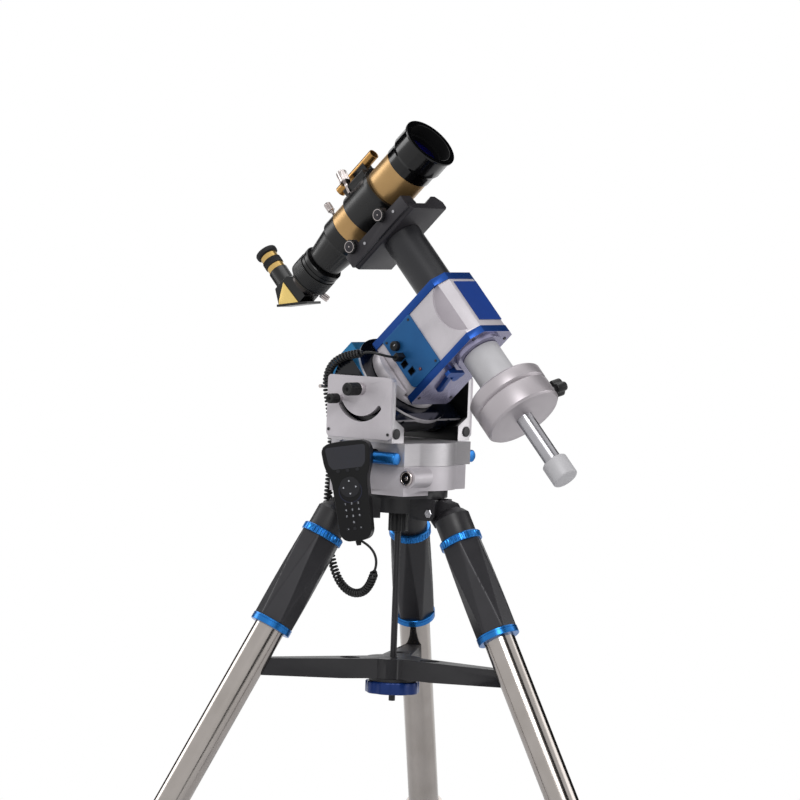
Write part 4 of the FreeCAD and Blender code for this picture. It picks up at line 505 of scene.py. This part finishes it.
def make_grip(number):
    """A grip whose long flats run in from both ends, and the blue rings that close it."""
    top, length, radius, flats = -67.0, 154.0, 33.5, 6
    steps = 36
    outline = [(25.45, top), (25.45, top - length)]
    outline += [(radius - 0.8, top - length)]
    outline += [(radius, top - length + 1 + (length - 2) * i / steps) for i in range(steps + 1)]
    outline += [(radius - 0.8, top)]
    grip = ring(outline, 144)
    for vert in grip.verts:
        reach = math.hypot(vert.co.x, vert.co.y)
        if reach < radius - 1:
            continue
        down = (top - vert.co.z) / length
        limit = reach
        for shift, way in ((0.0, down), (0.5, 1 - down)):
            pitch = (math.atan2(vert.co.y, vert.co.x) * flats / (2 * math.pi) + shift) % 1 - 0.5
            flat = radius * (0.885 + 0.125 * min(way / 0.85, 1.0) ** 0.8)
            limit = min(limit, flat / math.cos(pitch * 2 * math.pi / flats))
        vert.co.xy *= limit / reach
    place = LEG[number] @ Matrix.Translation((LEG_OFFSET, 0, 0))
    keep(f"leg_{number}_grip_body", grip, f"leg_{number}", grip_black, place, sharp=22)

    outer, low, high = 34.5, top, top + 13.0
    crown = ring([(29.1, low), (outer - 0.7, low), (outer, low + 0.7), (outer, low + 2), (outer, high - 2.6),
                  (outer, high - 1.6), (outer - 1.5, high), (29.1, high)], 180)
    groove(crown, 36, 1.3, low + 1.5, high - 2.4, inner=32, share=0.6)
    end = top - length
    hoop = ring([(25.45, end), (25.45, end - 12), (outer - 0.8, end - 12), (outer, end - 11.2),
                 (outer, end - 4.2), (outer - 0.6, end - 3.9), (outer - 0.6, end - 3.3), (outer, end - 3.0),
                 (outer, end - 0.7), (outer - 0.7, end)], 96)
    rings = joined((crown, Matrix()), (hoop, Matrix()))
    keep(f"leg_{number}_grip_rings", rings, f"leg_{number}", blue_ring, place,
         [f"leg_{number}_grip"])


def make_leg(number):
    """One leg: its two tubes, grip, rings and lock knob."""
    place = LEG[number]
    dress(f"leg_{number}_frame", [satin_black, drawn_steel, moulded_black], 0.9, leg_zone, place)
    dress(f"leg_{number}_slider", [drawn_steel, rubber], 0.8, lambda c: int(c.z < FOOT_TOP), place)
    make_grip(number)
    stem = turned([(0, 46.3), (4, 46.3), (4, 68), (0, 68)], 32)
    head = lobed(14, 18, 5, 3.0, 2.0)
    disc = turned([(0, 17), (6, 17), (6, 18.3), (5.4, 18.8), (0, 18.8)], 40)
    whole = joined((stem, Matrix(), 1), (head, Matrix.Translation((0, 0, 67))),
                   (disc, Matrix.Translation((0, 0, 66.2))))
    keep(f"leg_{number}_lock_knob", whole, f"leg_{number}_lock", [moulded_black, bright_nickel],
         place @ facing((1, 0, 0), (0, 0, LOCK_Z)), [f"leg_{number}_lock"])
    for side in (-1, 1):
        bolt = turned([(0, 0), (7.2, 0), (7.2, 1.6), (6.2, 2.4), (2.6, 2.4), (2.4, 1.2), (0, 1.2)], 6)
        keep(f"leg_{number}_hinge_bolt_{side + 2}", bolt, "tripod_head", ground_steel,
             ROW @ leg_root(number) @ facing((0, side, 0), (0, side * 21.9, 0)), sharp=20)


def leg_root(number):
    """The hinge's frame in row millimetres, level with the floor."""
    away = math.radians((270, 30, 150)[number - 1])
    return Matrix.Rotation(away, 4, "Z") @ Matrix.Translation((HINGE_RADIUS, 0, HINGE_Z))


def make_tripod():
    dress("tripod_head", satin_black, 1.2)
    dress("spreader", satin_black, 1.4)
    dress("centre_rod", satin_black, 0.6)
    for number in LEG:
        make_leg(number)
    wheel = lobed(44, 20, 9, 2.2, 2.5, 16)
    boss = turned([(0, 19), (38, 19), (38, 24.9), (37.2, 25.7), (0, 25.7)], 96)
    keep("spreader_wheel", joined((wheel, Matrix(), 0), (boss, Matrix(), 1)), "spreader_knob",
         [blue_wheel, satin_black], ROW @ Matrix.Translation((0, 0, 383)), ["spreader_knob"])
    nut = lobed(16, 31, 8, 1.8, 1.6)
    keep("head_nut_knob", nut, "head_nut", moulded_black, ROW @ Matrix.Translation((0, 0, 645.7)),
         ["head_nut"])


make_tripod()


# ---------------------------------------------------------------- base and fork
UPPER_TOP = 793.2
HANDLE_Z = 769.0


def knurled(radius, height, count, depth, edge=1.0):
    """A straight-knurled knob head on z 0 with plain rims and a shallow dish in its end."""
    head = turned([(0, 0), (radius - edge, 0), (radius, edge), (radius, edge + 1.2),
                   (radius, height - edge - 1.6), (radius, height - edge - 0.6),
                   (radius - edge, height - 0.2), (radius - edge - 0.8, height), (radius * 0.55, height),
                   (radius * 0.5, height - 0.8), (0, height - 0.8)], count * 4)
    groove(head, count, depth, edge + 0.8, height - edge - 1.2, inner=radius - 0.5, share=0.55)
    return head


def hexagon(radius):
    """The mouth of a hexagon socket as a flat matt black hexagon, painted shade for the socket's depth, on z
    0.
    """
    return turned([(0, 0), (radius, 0), (radius, 0.25), (0, 0.25)], 6)


def make_azimuth_screw():
    """The adjuster's bright rim round a socket whose matt black floor is painted shade, with a hexagon head
    in it.
    """
    rim = turned([(0, -26), (5, -26), (5, 0), (11.4, 0), (12, 0.6), (12, 3.4), (11.4, 4), (9.6, 4),
                  (9.2, 3.6), (9.2, 0.6), (0, 0.6)], 72)
    # The socket's matt black floor is painted shade for the socket's depth.
    socket = turned([(0, 0.5), (9.15, 0.5), (9.15, 0.9), (0, 0.9)], 48)
    bolt = turned([(0, 0.8), (3.6, 0.8), (3.6, 2.6), (3.0, 3.0), (0, 3.0)], 6)
    screw = joined((rim, Matrix(), 0), (socket, Matrix(), 1), (bolt, Matrix(), 0))
    keep("azimuth_screw", screw, "azimuth_knob", [bright_nickel, matt_black],
         ROW @ facing((-1, 0, 0), (-86.3, -84, 739)), ["azimuth_knob"])


def fork_zone(c):
    """0 the brushed outside, 1 the inside between the arms, black as painted shade."""
    return int(abs(c.x) < 93.4 and c.y > -60.6 and c.z > UPPER_TOP + 0.4)


def make_base():
    """The turntable base, the fork, its side plates and its knobs."""
    dress("lower_base", silver_paint, 1.2)
    make_azimuth_screw()
    # The fork's inside between the arms is painted black as painted shade.
    dress("fork", [brushed_alloy, satin_enamel], 1.2, fork_zone)
    dress("side_plates", silver_paint, 1.0)
    dress("carry_handles", blue_ring, 0.8)
    dress("mount_screws", satin_black, 0.3)
    boss = turned([(0, 0), (9.2, 0), (10, 0.8), (10, 8.2), (9.2, 9), (0, 9)], 72)
    grip = knurled(10.5, 27, 22, 0.8)
    stud = turned([(0, -34), (5, -34), (5, 1), (0, 1)], 32)
    # Flat matt black hexagons on the knob ends are painted shade for their sockets.
    knob = joined((boss, Matrix(), 0), (grip, Matrix.Translation((0, 0, 8.8)), 1), (stud, Matrix(), 0),
                  (hexagon(3.0), Matrix.Translation((0, 0, 34.9)), 2))
    keep("latitude_clamp", knob, "latitude_knob", [turned_alloy, moulded_black, matt_black],
         ROW @ facing((-1, 0, 0), (-105.3, 2, 877)), ["latitude_knob"])
    neck = turned([(0, -11), (5, -11), (5, 9), (0, 9)], 32)
    grip = knurled(8, 20, 18, 0.7)
    knob = joined((neck, Matrix(), 1), (grip, Matrix.Translation((0, 0, 8)), 0),
                  (hexagon(2.5), Matrix.Translation((0, 0, 27.1)), 2))
    keep("latitude_lock_grip", knob, "latitude_lock", [moulded_black, turned_alloy, matt_black],
         ROW @ facing((-1, 0, 0), (-105.3, 44, 859.5)), ["latitude_lock"])


make_base()


# ---------------------------------------------------------------- polar head
def housing_zone(c):
    """0 the pale blue rear box, 1 the barrel, near-black navy as painted shade on the blue casting, 2 the
    bright rim of the front flange.
    """
    if -156.3 < c.z < -147.7 and math.hypot(c.x, c.y) > 84:
        return 2
    return int(c.y < 30)


def casting_zone(c):
    """0 the casting, 1 the round recess in its side, in a darker copy of the coat as painted shade."""
    return int(-41.2 < c.x < -38 and c.z > -6 and math.hypot(c.y - 4.9, c.z - 51.7) < 53)


def flange_zone(c):
    """0 the blue flanges, 1 the label, 2 the pale lower face."""
    return 2 if c.y < -61.9 else int(c.z > 43.2 and abs(c.y) < 48.8)


def make_polar_head():
    """The polar housing, the drum and the declination head with its panel."""
    # The housing's barrel is near-black navy as painted shade.
    dress("ra_housing", [blue_cover, navy_painted_shade, brushed_alloy], 1.2, housing_zone, HEAD)
    dress("latitude_screw", bright_nickel, 0.3)
    dress("ra_drum", silver_paint, 1.0)
    # The casting's round recess takes the darker copy of the coat as painted shade.
    dress("dec_casting", [silver_paint, silver_recess_painted_shade], 1.4, casting_zone, HEAD)
    dress("dec_flanges", [blue_flange, blue_label, lilac_gloss], 1.2, flange_zone, HEAD)
    dress("connector_panel", [blue_panel, matt_black, red_lamp], 0.4, panel_zone, HEAD)
    dress("dec_clutch_lever", blue_flange, 0.8)
    dress("cord_plug", moulded_black, 0.8)
    dial = knurled(8, 9, 20, 0.6, 0.8)
    pointer = turned([(0, 0), (0.7, 0), (0.7, 0.4), (0, 0.4)], 12)
    bmesh.ops.scale(pointer, vec=(1, 5, 1), verts=pointer.verts)
    knob = joined((dial, Matrix(), 0), (pointer, Matrix.Translation((0, 3, 8.1)), 1))
    keep("power_dial", knob, "power_knob", [moulded_black, white_ink],
         HEAD @ facing((-1, 0, 0), (-45.3, 26, -95)), ["power_knob"])
    spots = [(s, t) for s in (-43, 43) for t in (-50,)] + [(43, -108)]
    for index, (s, t) in enumerate(spots):
        keep(f"panel_screw_{index}", socket_screw(2.2, 1.0), "polar_head", satin_black,
             HEAD @ facing((-1, 0, 0), (-44.9, s, t)))
    for index, (x, t) in enumerate(((-34, 24), (44, 26), (-36, -120), (46, -120))):
        keep(f"flange_screw_{index}", socket_screw(2.8, 1.4), "polar_head", satin_black,
             HEAD @ facing((0, -1, 0), (x, -61.8, t)))


def socket_screw(radius, height):
    """A cap screw with a hexagon socket, standing on z 0."""
    bm = bmesh.new()
    bmesh.ops.create_cone(bm, cap_ends=True, segments=36, radius1=radius, radius2=radius * 0.94, depth=height)
    bmesh.ops.translate(bm, vec=(0, 0, height / 2), verts=bm.verts)
    mouth = turned([(0, 0), (radius * 0.5, 0), (radius * 0.5, height + 0.05),
                      (radius * 0.38, height + 0.05), (radius * 0.38, height * 0.3), (0, height * 0.3)], 6)
    return joined((bm, Matrix()), (mouth, Matrix()))


def panel_zone(c):
    """0 the plate, 1 a socket's cup, 2 the lamp."""
    for s, t in ((-6, -102), (-24, -98)):
        near = abs(c.y - s) < 5.6 and abs(c.z - t) < 6.6
        if near and (abs(c.y - s) > 4.4 or abs(c.z - t) > 5.4 or c.x > -40):
            return 1
    return 2 if math.hypot(c.y + 33, c.z + 82) < 3 and c.x < -44.9 else 0


make_polar_head()


# ---------------------------------------------------------------- declination shaft
def make_declination_shaft():
    """The sleeve, the saddle, the counterweight and its bar."""
    dress("dec_sleeve", sleeve_black, 1.0)
    dress("counterweight_bar", [ground_steel, blasted_alloy], 0.6, lambda c: int(c.y > -137.3), HEAD)
    dress("bar_end_cap", blasted_alloy, 0.8)
    dress("counterweight", turned_alloy, 0.7)
    dress("saddle", charcoal, 1.2)
    dress("saddle_jaw", charcoal, 0.8)
    for index, t in enumerate((19.6, -58.0)):
        parts = [(lobed(11.6, 7.2, 12, 0.9, 1.0), Matrix(), 0)]
        rim = ring([(8.4, 6.8), (9.4, 6.8), (9.4, 7.6), (8.4, 7.6)], 64)
        parts += [(rim, Matrix(), 1), (turned([(0, 6.8), (2.6, 6.8), (2.4, 8.0), (0, 8.2)], 32), Matrix(), 1)]
        for spoke in range(8):
            bar = slab(((3.6, -0.55), (7.6, -0.9), (7.6, 0.9), (3.6, 0.55)), 6.8, 7.5)
            parts.append((bar, Matrix.Rotation(spoke * math.pi / 4, 4, "Z"), 1))
        knob = joined(*parts)
        keep(f"jaw_knob_{index + 1}", knob, "saddle_jaw", [moulded_black, bright_nickel],
             HEAD @ facing((-1, 0, 0), (-50.2, 204.4, t)))
        keep(f"jaw_screw_{index + 1}", socket_screw(2.6, 1.2), "saddle_jaw", ground_steel,
             HEAD @ facing((-1, 0, 0), (-50.2, 191, t + 24)))
    lean = math.radians(24)
    way = (math.cos(lean), 0, math.sin(lean))
    place = HEAD @ facing(way, (0, -174, 0))
    stem = turned([(0, 15), (5, 15), (5, 79), (0, 79)], 32)
    head = lobed(15, 19, 3, 5.5, 2.6, 20)
    cap = turned([(0, 0), (5, 0), (5, 0.9), (4.2, 1.4), (0, 1.4)], 40)
    knob = joined((stem, Matrix(), 1), (head, Matrix.Translation((0, 0, 78))),
                  (cap, Matrix.Translation((0, 0, 96.6))))
    keep("weight_lock_star", knob, "weight_lock_knob", [moulded_black, ground_steel], place,
         ["weight_lock_knob"])


make_declination_shaft()


# ---------------------------------------------------------------- optical tube
OPTICAL = HEAD @ Matrix.Translation((0, TUBE_S, 0))


def thumbscrew(name, t, x, tilt, stem_r, head_r, head_from, head_to):
    """A thumbscrew with a straight-knurled head, threaded where it nears the tube."""
    slope = math.tan(math.radians(tilt))
    origin = Vector((x, TUBE_S + head_from, t))
    way = Vector((slope, 1, 0))
    height = (head_to - head_from) * way.length
    below = (head_from - 37.4) * way.length
    head = knurled(head_r, height, 18 if head_r > 7 else 14, 0.8, 0.9)
    profile = [(0, -below), (stem_r * 0.85, -below)]
    thread = 1.0
    for turn in range(int(below * 0.6 / thread)):
        low = -below + 0.3 + turn * thread
        profile += [(stem_r * 0.85, low), (stem_r, low + thread / 2)]
    profile += [(stem_r * 0.85, -below * 0.38), (stem_r, -below * 0.36), (stem_r, -2.2), (stem_r + 1.4, -2.0),
                (stem_r + 1.4, 0.2), (0, 0.2)]
    screw = joined((turned(profile, 32), Matrix()), (head, Matrix()))
    keep(name + "_turned", screw, name, bright_nickel, HEAD @ facing(way, origin), [name])


def make_focus_ring():
    """The ribbed helical focus ring."""
    outline = [(24.2, -150), (33.6, -150), (34.6, -151), (34.6, -156.5), (33.2, -157), (33.2, -158.6),
               (34.2, -159), (34.2, -164), (33.0, -164.4), (33.0, -166), (34.9, -166.5), (34.9, -168),
               (34.9, -186), (34.9, -187.5), (33.6, -188), (33.6, -189.4), (34.6, -190), (34.6, -191.5),
               (31.0, -195), (24.2, -195)]
    band = ring(outline, 320)
    groove(band, 80, 0.5, -186.5, -167.5, inner=34, share=0.5)
    core = ring([(20.15, -190.4), (20.15, -194.9), (26, -194.9), (26, -190.4)], 72)
    keep("focus_ring_ribbed", joined((band, Matrix()), (core, Matrix())), "focus_ring", satin_enamel, OPTICAL,
         ["focus_ring"])


def make_eyepiece():
    """A gold eyepiece with a ribbed rubber grip and a rubber eyecup."""
    place = HEAD @ facing((0, 1, 0), (0, TUBE_S, -233)) @ Matrix.Translation((0, 0, 54.3))
    barrel = turned([(0, -26), (12.1, -26), (12.1, 0), (14.0, 0.2), (14.5, 0.7), (14.5, 9.4), (13.9, 10),
                     (0, 10)], 96)
    grip = turned([(0, 10), (15.4, 10), (16, 10.6), (16, 11.4), (16, 20.6), (16, 21.4), (15.4, 22), (0, 22)],
                  192)
    groove(grip, 48, 0.5, 11, 21, inner=15.5)
    upper = turned([(0, 22), (13.9, 22), (14.5, 22.6), (14.5, 31.4), (13.9, 32), (0, 32)], 96)
    cup = turned([(0, 31.6), (16.2, 32), (18.0, 33.4), (18.5, 36), (18.5, 39.4), (17.6, 41), (15.8, 41),
                  (13.5, 37.4), (8.6, 36.4), (8.4, 35), (0, 34.4)], 96)
    whole = joined((barrel, Matrix(), 0), (grip, Matrix(), 1), (upper, Matrix(), 0), (cup, Matrix(), 1))
    keep("eyepiece_turned", whole, "eyepiece", [pale_gold, rubber], place, ["eyepiece"])


def diagonal_zone(c):
    """0 black body and holder, 1 gold covers, 2 the nosepiece in nickel darkened as painted shade."""
    if c.z > -204.8:
        return 2
    return int(abs(c.x) > 18.05)


def make_optics():
    """The tube, its rings and screws, the focuser and the prism."""
    dress("main_tube", gold_anodised, 0.4)
    dress("dew_cap", [gloss_enamel, matt_black], 0.6,
          lambda c: int(math.hypot(c.x, c.y) < 38.1 and 100 < c.z < 142.5), OPTICAL)
    dress("objective_lens", coated_lens, 0)
    dress("rear_cell", satin_enamel, 0.5)
    dress("clamshell", satin_enamel, 0.8)
    dress("finder_tube", polished_brass, 0.4)
    # The draw tube and the nosepiece are nickel darkened as painted shade.
    dress("draw_tube", nickel_painted_shade, 0.4)
    dress("diagonal", [satin_enamel, gold_cover, nickel_painted_shade], 0.5, diagonal_zone, OPTICAL)
    make_focus_ring()
    make_eyepiece()
    thumbscrew("ring_thumbscrew", -22.0, -15.4, 17.0, 3.0, 9.0, 60.0, 82.0)
    thumbscrew("cell_thumbscrew", -80.0, -5.0, 0.0, 2.5, 6.0, 50.0, 66.0)
    way = Vector((0.63, -0.78, 0)).normalized()
    head = knurled(5.5, 15, 14, 0.7, 0.8)
    stem = turned([(0, -14.8), (2.5, -14.8), (2.5, 0.2), (0, 0.2)], 24)
    keep("draw_screw_turned", joined((head, Matrix()), (stem, Matrix())), "draw_screw", bright_nickel,
         OPTICAL @ facing(way, way * 31 + Vector((0, 0, -201))), ["draw_screw"])


make_optics()


# ---------------------------------------------------------------- handset
FACE = 12.0             # the face stands half the handset's thickness in front of its middle


def label(text, size, x, y, z):
    """A flat figure with its middle at a place on the handset's face."""
    curve = bpy.data.curves.new("figure", "FONT")
    curve.body = text
    curve.size = size
    curve.align_x = "CENTER"
    curve.align_y = "CENTER"
    curve.extrude = 0.05
    holder = bpy.data.objects.new("figure", curve)
    mesh = bpy.data.meshes.new_from_object(holder)
    bm = bmesh.new()
    bm.from_mesh(mesh)
    bmesh.ops.translate(bm, vec=(x, y, z), verts=bm.verts)
    bpy.data.objects.remove(holder)
    bpy.data.meshes.remove(mesh)
    return bm


def make_handset():
    """The handset with its window, keys and hook."""
    outline = ((-30, 78.5), (0, 80), (30, 78.5), (40, 70), (38, 42), (29, 18), (26, -70), (17, -80),
               (-17, -80), (-26, -70), (-29, 18), (-38, 42), (-40, 70))
    case = slab(outline, -FACE, FACE, 7, 3.2)
    plate = slab(((-31, 72), (31, 72), (33, 68), (30, 44), (24, 36), (-24, 36), (-30, 44), (-33, 68)),
                 FACE - 0.5, FACE + 0.35, 2.5, 0.3, 2)
    display = slab(((-21, 67), (21, 67), (21, 52), (-21, 52)), FACE, FACE + 0.6, 1.5, 0.25, 2)
    well = ring([(17.4, FACE - 0.4), (19.4, FACE - 0.4), (19.2, FACE + 0.5), (17.6, FACE + 0.5)], 72)
    gland = turned([(0, 0), (5, 0), (4.2, -6), (3.4, -9), (0, -9)], 32)
    shell = joined((case, Matrix(), 0), (plate, Matrix(), 1), (display, Matrix(), 1), (well, Matrix(), 2),
                   (gland, facing((0, 1, 0), (0, -79, 0)), 0))
    keep("handset_shell", shell, "fork", [handset_abs, window_glass, faceplate_blue], HANDSET)

    inner, outer, width = 10.4, 13.8, 24.0
    hook = bmesh.new()
    verts = [hook.verts.new(p) for p in ((inner, 0, 0), (outer, 0, 0), (outer, -width, 0),
                                         (inner, -width, 0))]
    face = hook.faces.new(verts)
    bmesh.ops.spin(hook, geom=[face], cent=(0, 0, 0), axis=(0, 1, 0), angle=-math.pi, steps=28,
                   use_merge=False)
    bmesh.ops.recalc_face_normals(hook, faces=hook.faces)
    arm = slab(((-34, 0), (-10.6, 0), (-10.6, -width), (-34, -width)), -6, 3.4, 0, 0.8, 2)
    bracket = joined((hook, Matrix()), (arm, Matrix()))
    keep("handset_hanger", bracket, "fork", handset_abs, ROW @ Matrix.Translation((-97, 0, HANDLE_Z)),
         ["handset_case"])

    pad = turned([(0, 9.5), (16.6, 9.5), (16.6, 12.6), (15.8, 13.4), (9, 13.9), (4, 13.4), (0, 13.3)], 96)
    parts = [(pad, Matrix.Translation((0, 6, 0)), 0)]
    for quarter in range(4):
        arrow = slab(((-1.7, 0), (1.7, 0), (0, 2.6)), 13.4, 14.05)
        parts.append((arrow, Matrix.Translation((0, 6, 0)) @ Matrix.Rotation(quarter * math.pi / 2, 4, "Z")
                      @ Matrix.Translation((0, 9.2, 0)), 1))
    keep("handset_pad", joined(*parts), "handset_arrow_pad", [key_rubber, white_ink], HANDSET,
         ["handset_arrow_pad"])

    parts = []
    for x, y, mark in key_marks():
        cap = turned([(0, 9.5), (3.1, 9.5), (3.1, 13.0), (2.6, 13.5), (0, 13.6)], 32)
        bmesh.ops.scale(cap, vec=(1.0, 0.9, 1.0), verts=cap.verts)
        parts.append((cap, Matrix.Translation((x, y, 0)), 0))
        if mark:
            parts.append((label(mark, 4.6, x, y, 13.62), Matrix(), 1))
    keep("handset_keypad", joined(*parts), "handset_keys", [key_rubber, white_ink], HANDSET,
         ["handset_keys"])


def key_marks():
    """(x, y, figure) for every key."""
    pitch = 10.5
    rows = ("123", "456", "789", " 0 ")
    marks = [((column - 1) * pitch, -20 - 10 * row, figure) for row, figures in enumerate(rows)
             for column, figure in enumerate(figures) if figure != " "]
    marks += [((column - 1) * pitch, -60, figure) for column, figure in enumerate(("v", "", "^"))]
    return marks + [((column - 1) * 1.5 * pitch, 33, "") for column in range(3)]


make_handset()


# ---------------------------------------------------------------- stage
def make_flag(name, bearing, spread):
    """A tall dark card that only reflections see, so that polished metal shows a dark band."""
    distance, height = 4.2, 7.0
    across = Vector((math.cos(bearing), math.sin(bearing), 0)) * distance * math.tan(spread / 2)
    middle = Vector((math.sin(bearing), -math.cos(bearing), 0)) * distance
    corners = [middle - across, middle + across, middle + across + UP * height, middle - across + UP * height]
    mesh = bpy.data.meshes.new(name)
    mesh.from_pydata(corners, [], [(0, 1, 2, 3)])
    mesh.materials.append(matt_black)
    flag = bpy.data.objects.new(name, mesh)
    bpy.context.scene.collection.objects.link(flag)
    flag.visible_camera = False
    flag.visible_diffuse = False
    flag.visible_shadow = False


def make_stage():
    """A pale floor, a white surround and soft lamps."""
    bpy.context.scene.view_settings.view_transform = "Standard"
    floor = bmesh.new()
    bmesh.ops.create_circle(floor, cap_ends=True, radius=1.35, segments=96)
    mesh = bpy.data.meshes.new("floor")
    floor.to_mesh(mesh)
    floor.free()
    paper = bpy.data.materials.new("floor_paper")
    paper.use_nodes = True
    tree = paper.node_tree
    principled = tree.nodes["Principled BSDF"]
    principled.inputs["Base Color"].default_value = (0.86, 0.86, 0.87, 1)
    principled.inputs["Roughness"].default_value = 0.9
    mesh.materials.append(paper)
    piece = bpy.data.objects.new("floor", mesh)
    bpy.context.scene.collection.objects.link(piece)

    world = bpy.data.worlds.new("surround")
    bpy.context.scene.world = world
    world.use_nodes = True
    tree = world.node_tree
    background = tree.nodes["Background"]
    path = add_node(tree, "LightPath")
    seen = add_node(tree, "Math", {0: path.outputs["Is Camera Ray"], 1: path.outputs["Is Glossy Ray"]},
                    operation="MAXIMUM").outputs[0]
    seen = add_node(tree, "Math", {0: seen, 1: path.outputs["Is Transmission Ray"]},
                    operation="MAXIMUM").outputs[0]
    strength = add_node(tree, "MapRange", {"Value": seen}, {"To Min": 0.45, "To Max": 1.0}).outputs[0]
    tree.links.new(strength, background.inputs["Strength"])
    background.inputs["Color"].default_value = (1, 1, 1, 1)

    for name, bearing, spread in (("front_flag", -16, 26), ("right_flag", 84, 46), ("rear_flag", 169, 34)):
        make_flag(name, math.radians(bearing), math.radians(spread))

    for name, place, size, power in (("key_lamp", (-2.6, -2.4, 3.2), 1.6, 70),
                                     ("fill_lamp", (2.4, -2.6, 1.6), 2.0, 22),
                                     ("top_lamp", (0.2, 0.6, 3.6), 2.2, 35),
                                     ("rear_lamp", (-1.0, 3.4, 2.0), 1.6, 25)):
        data = bpy.data.lights.new(name, "AREA")
        data.size = size
        data.energy = power
        lamp = bpy.data.objects.new(name, data)
        aim = Vector((0, 0, 0.9)) - Vector(place)
        lamp.matrix_world = Matrix.Translation(place) @ aim.to_track_quat("-Z", "Y").to_matrix().to_4x4()
        bpy.context.scene.collection.objects.link(lamp)


make_stage()
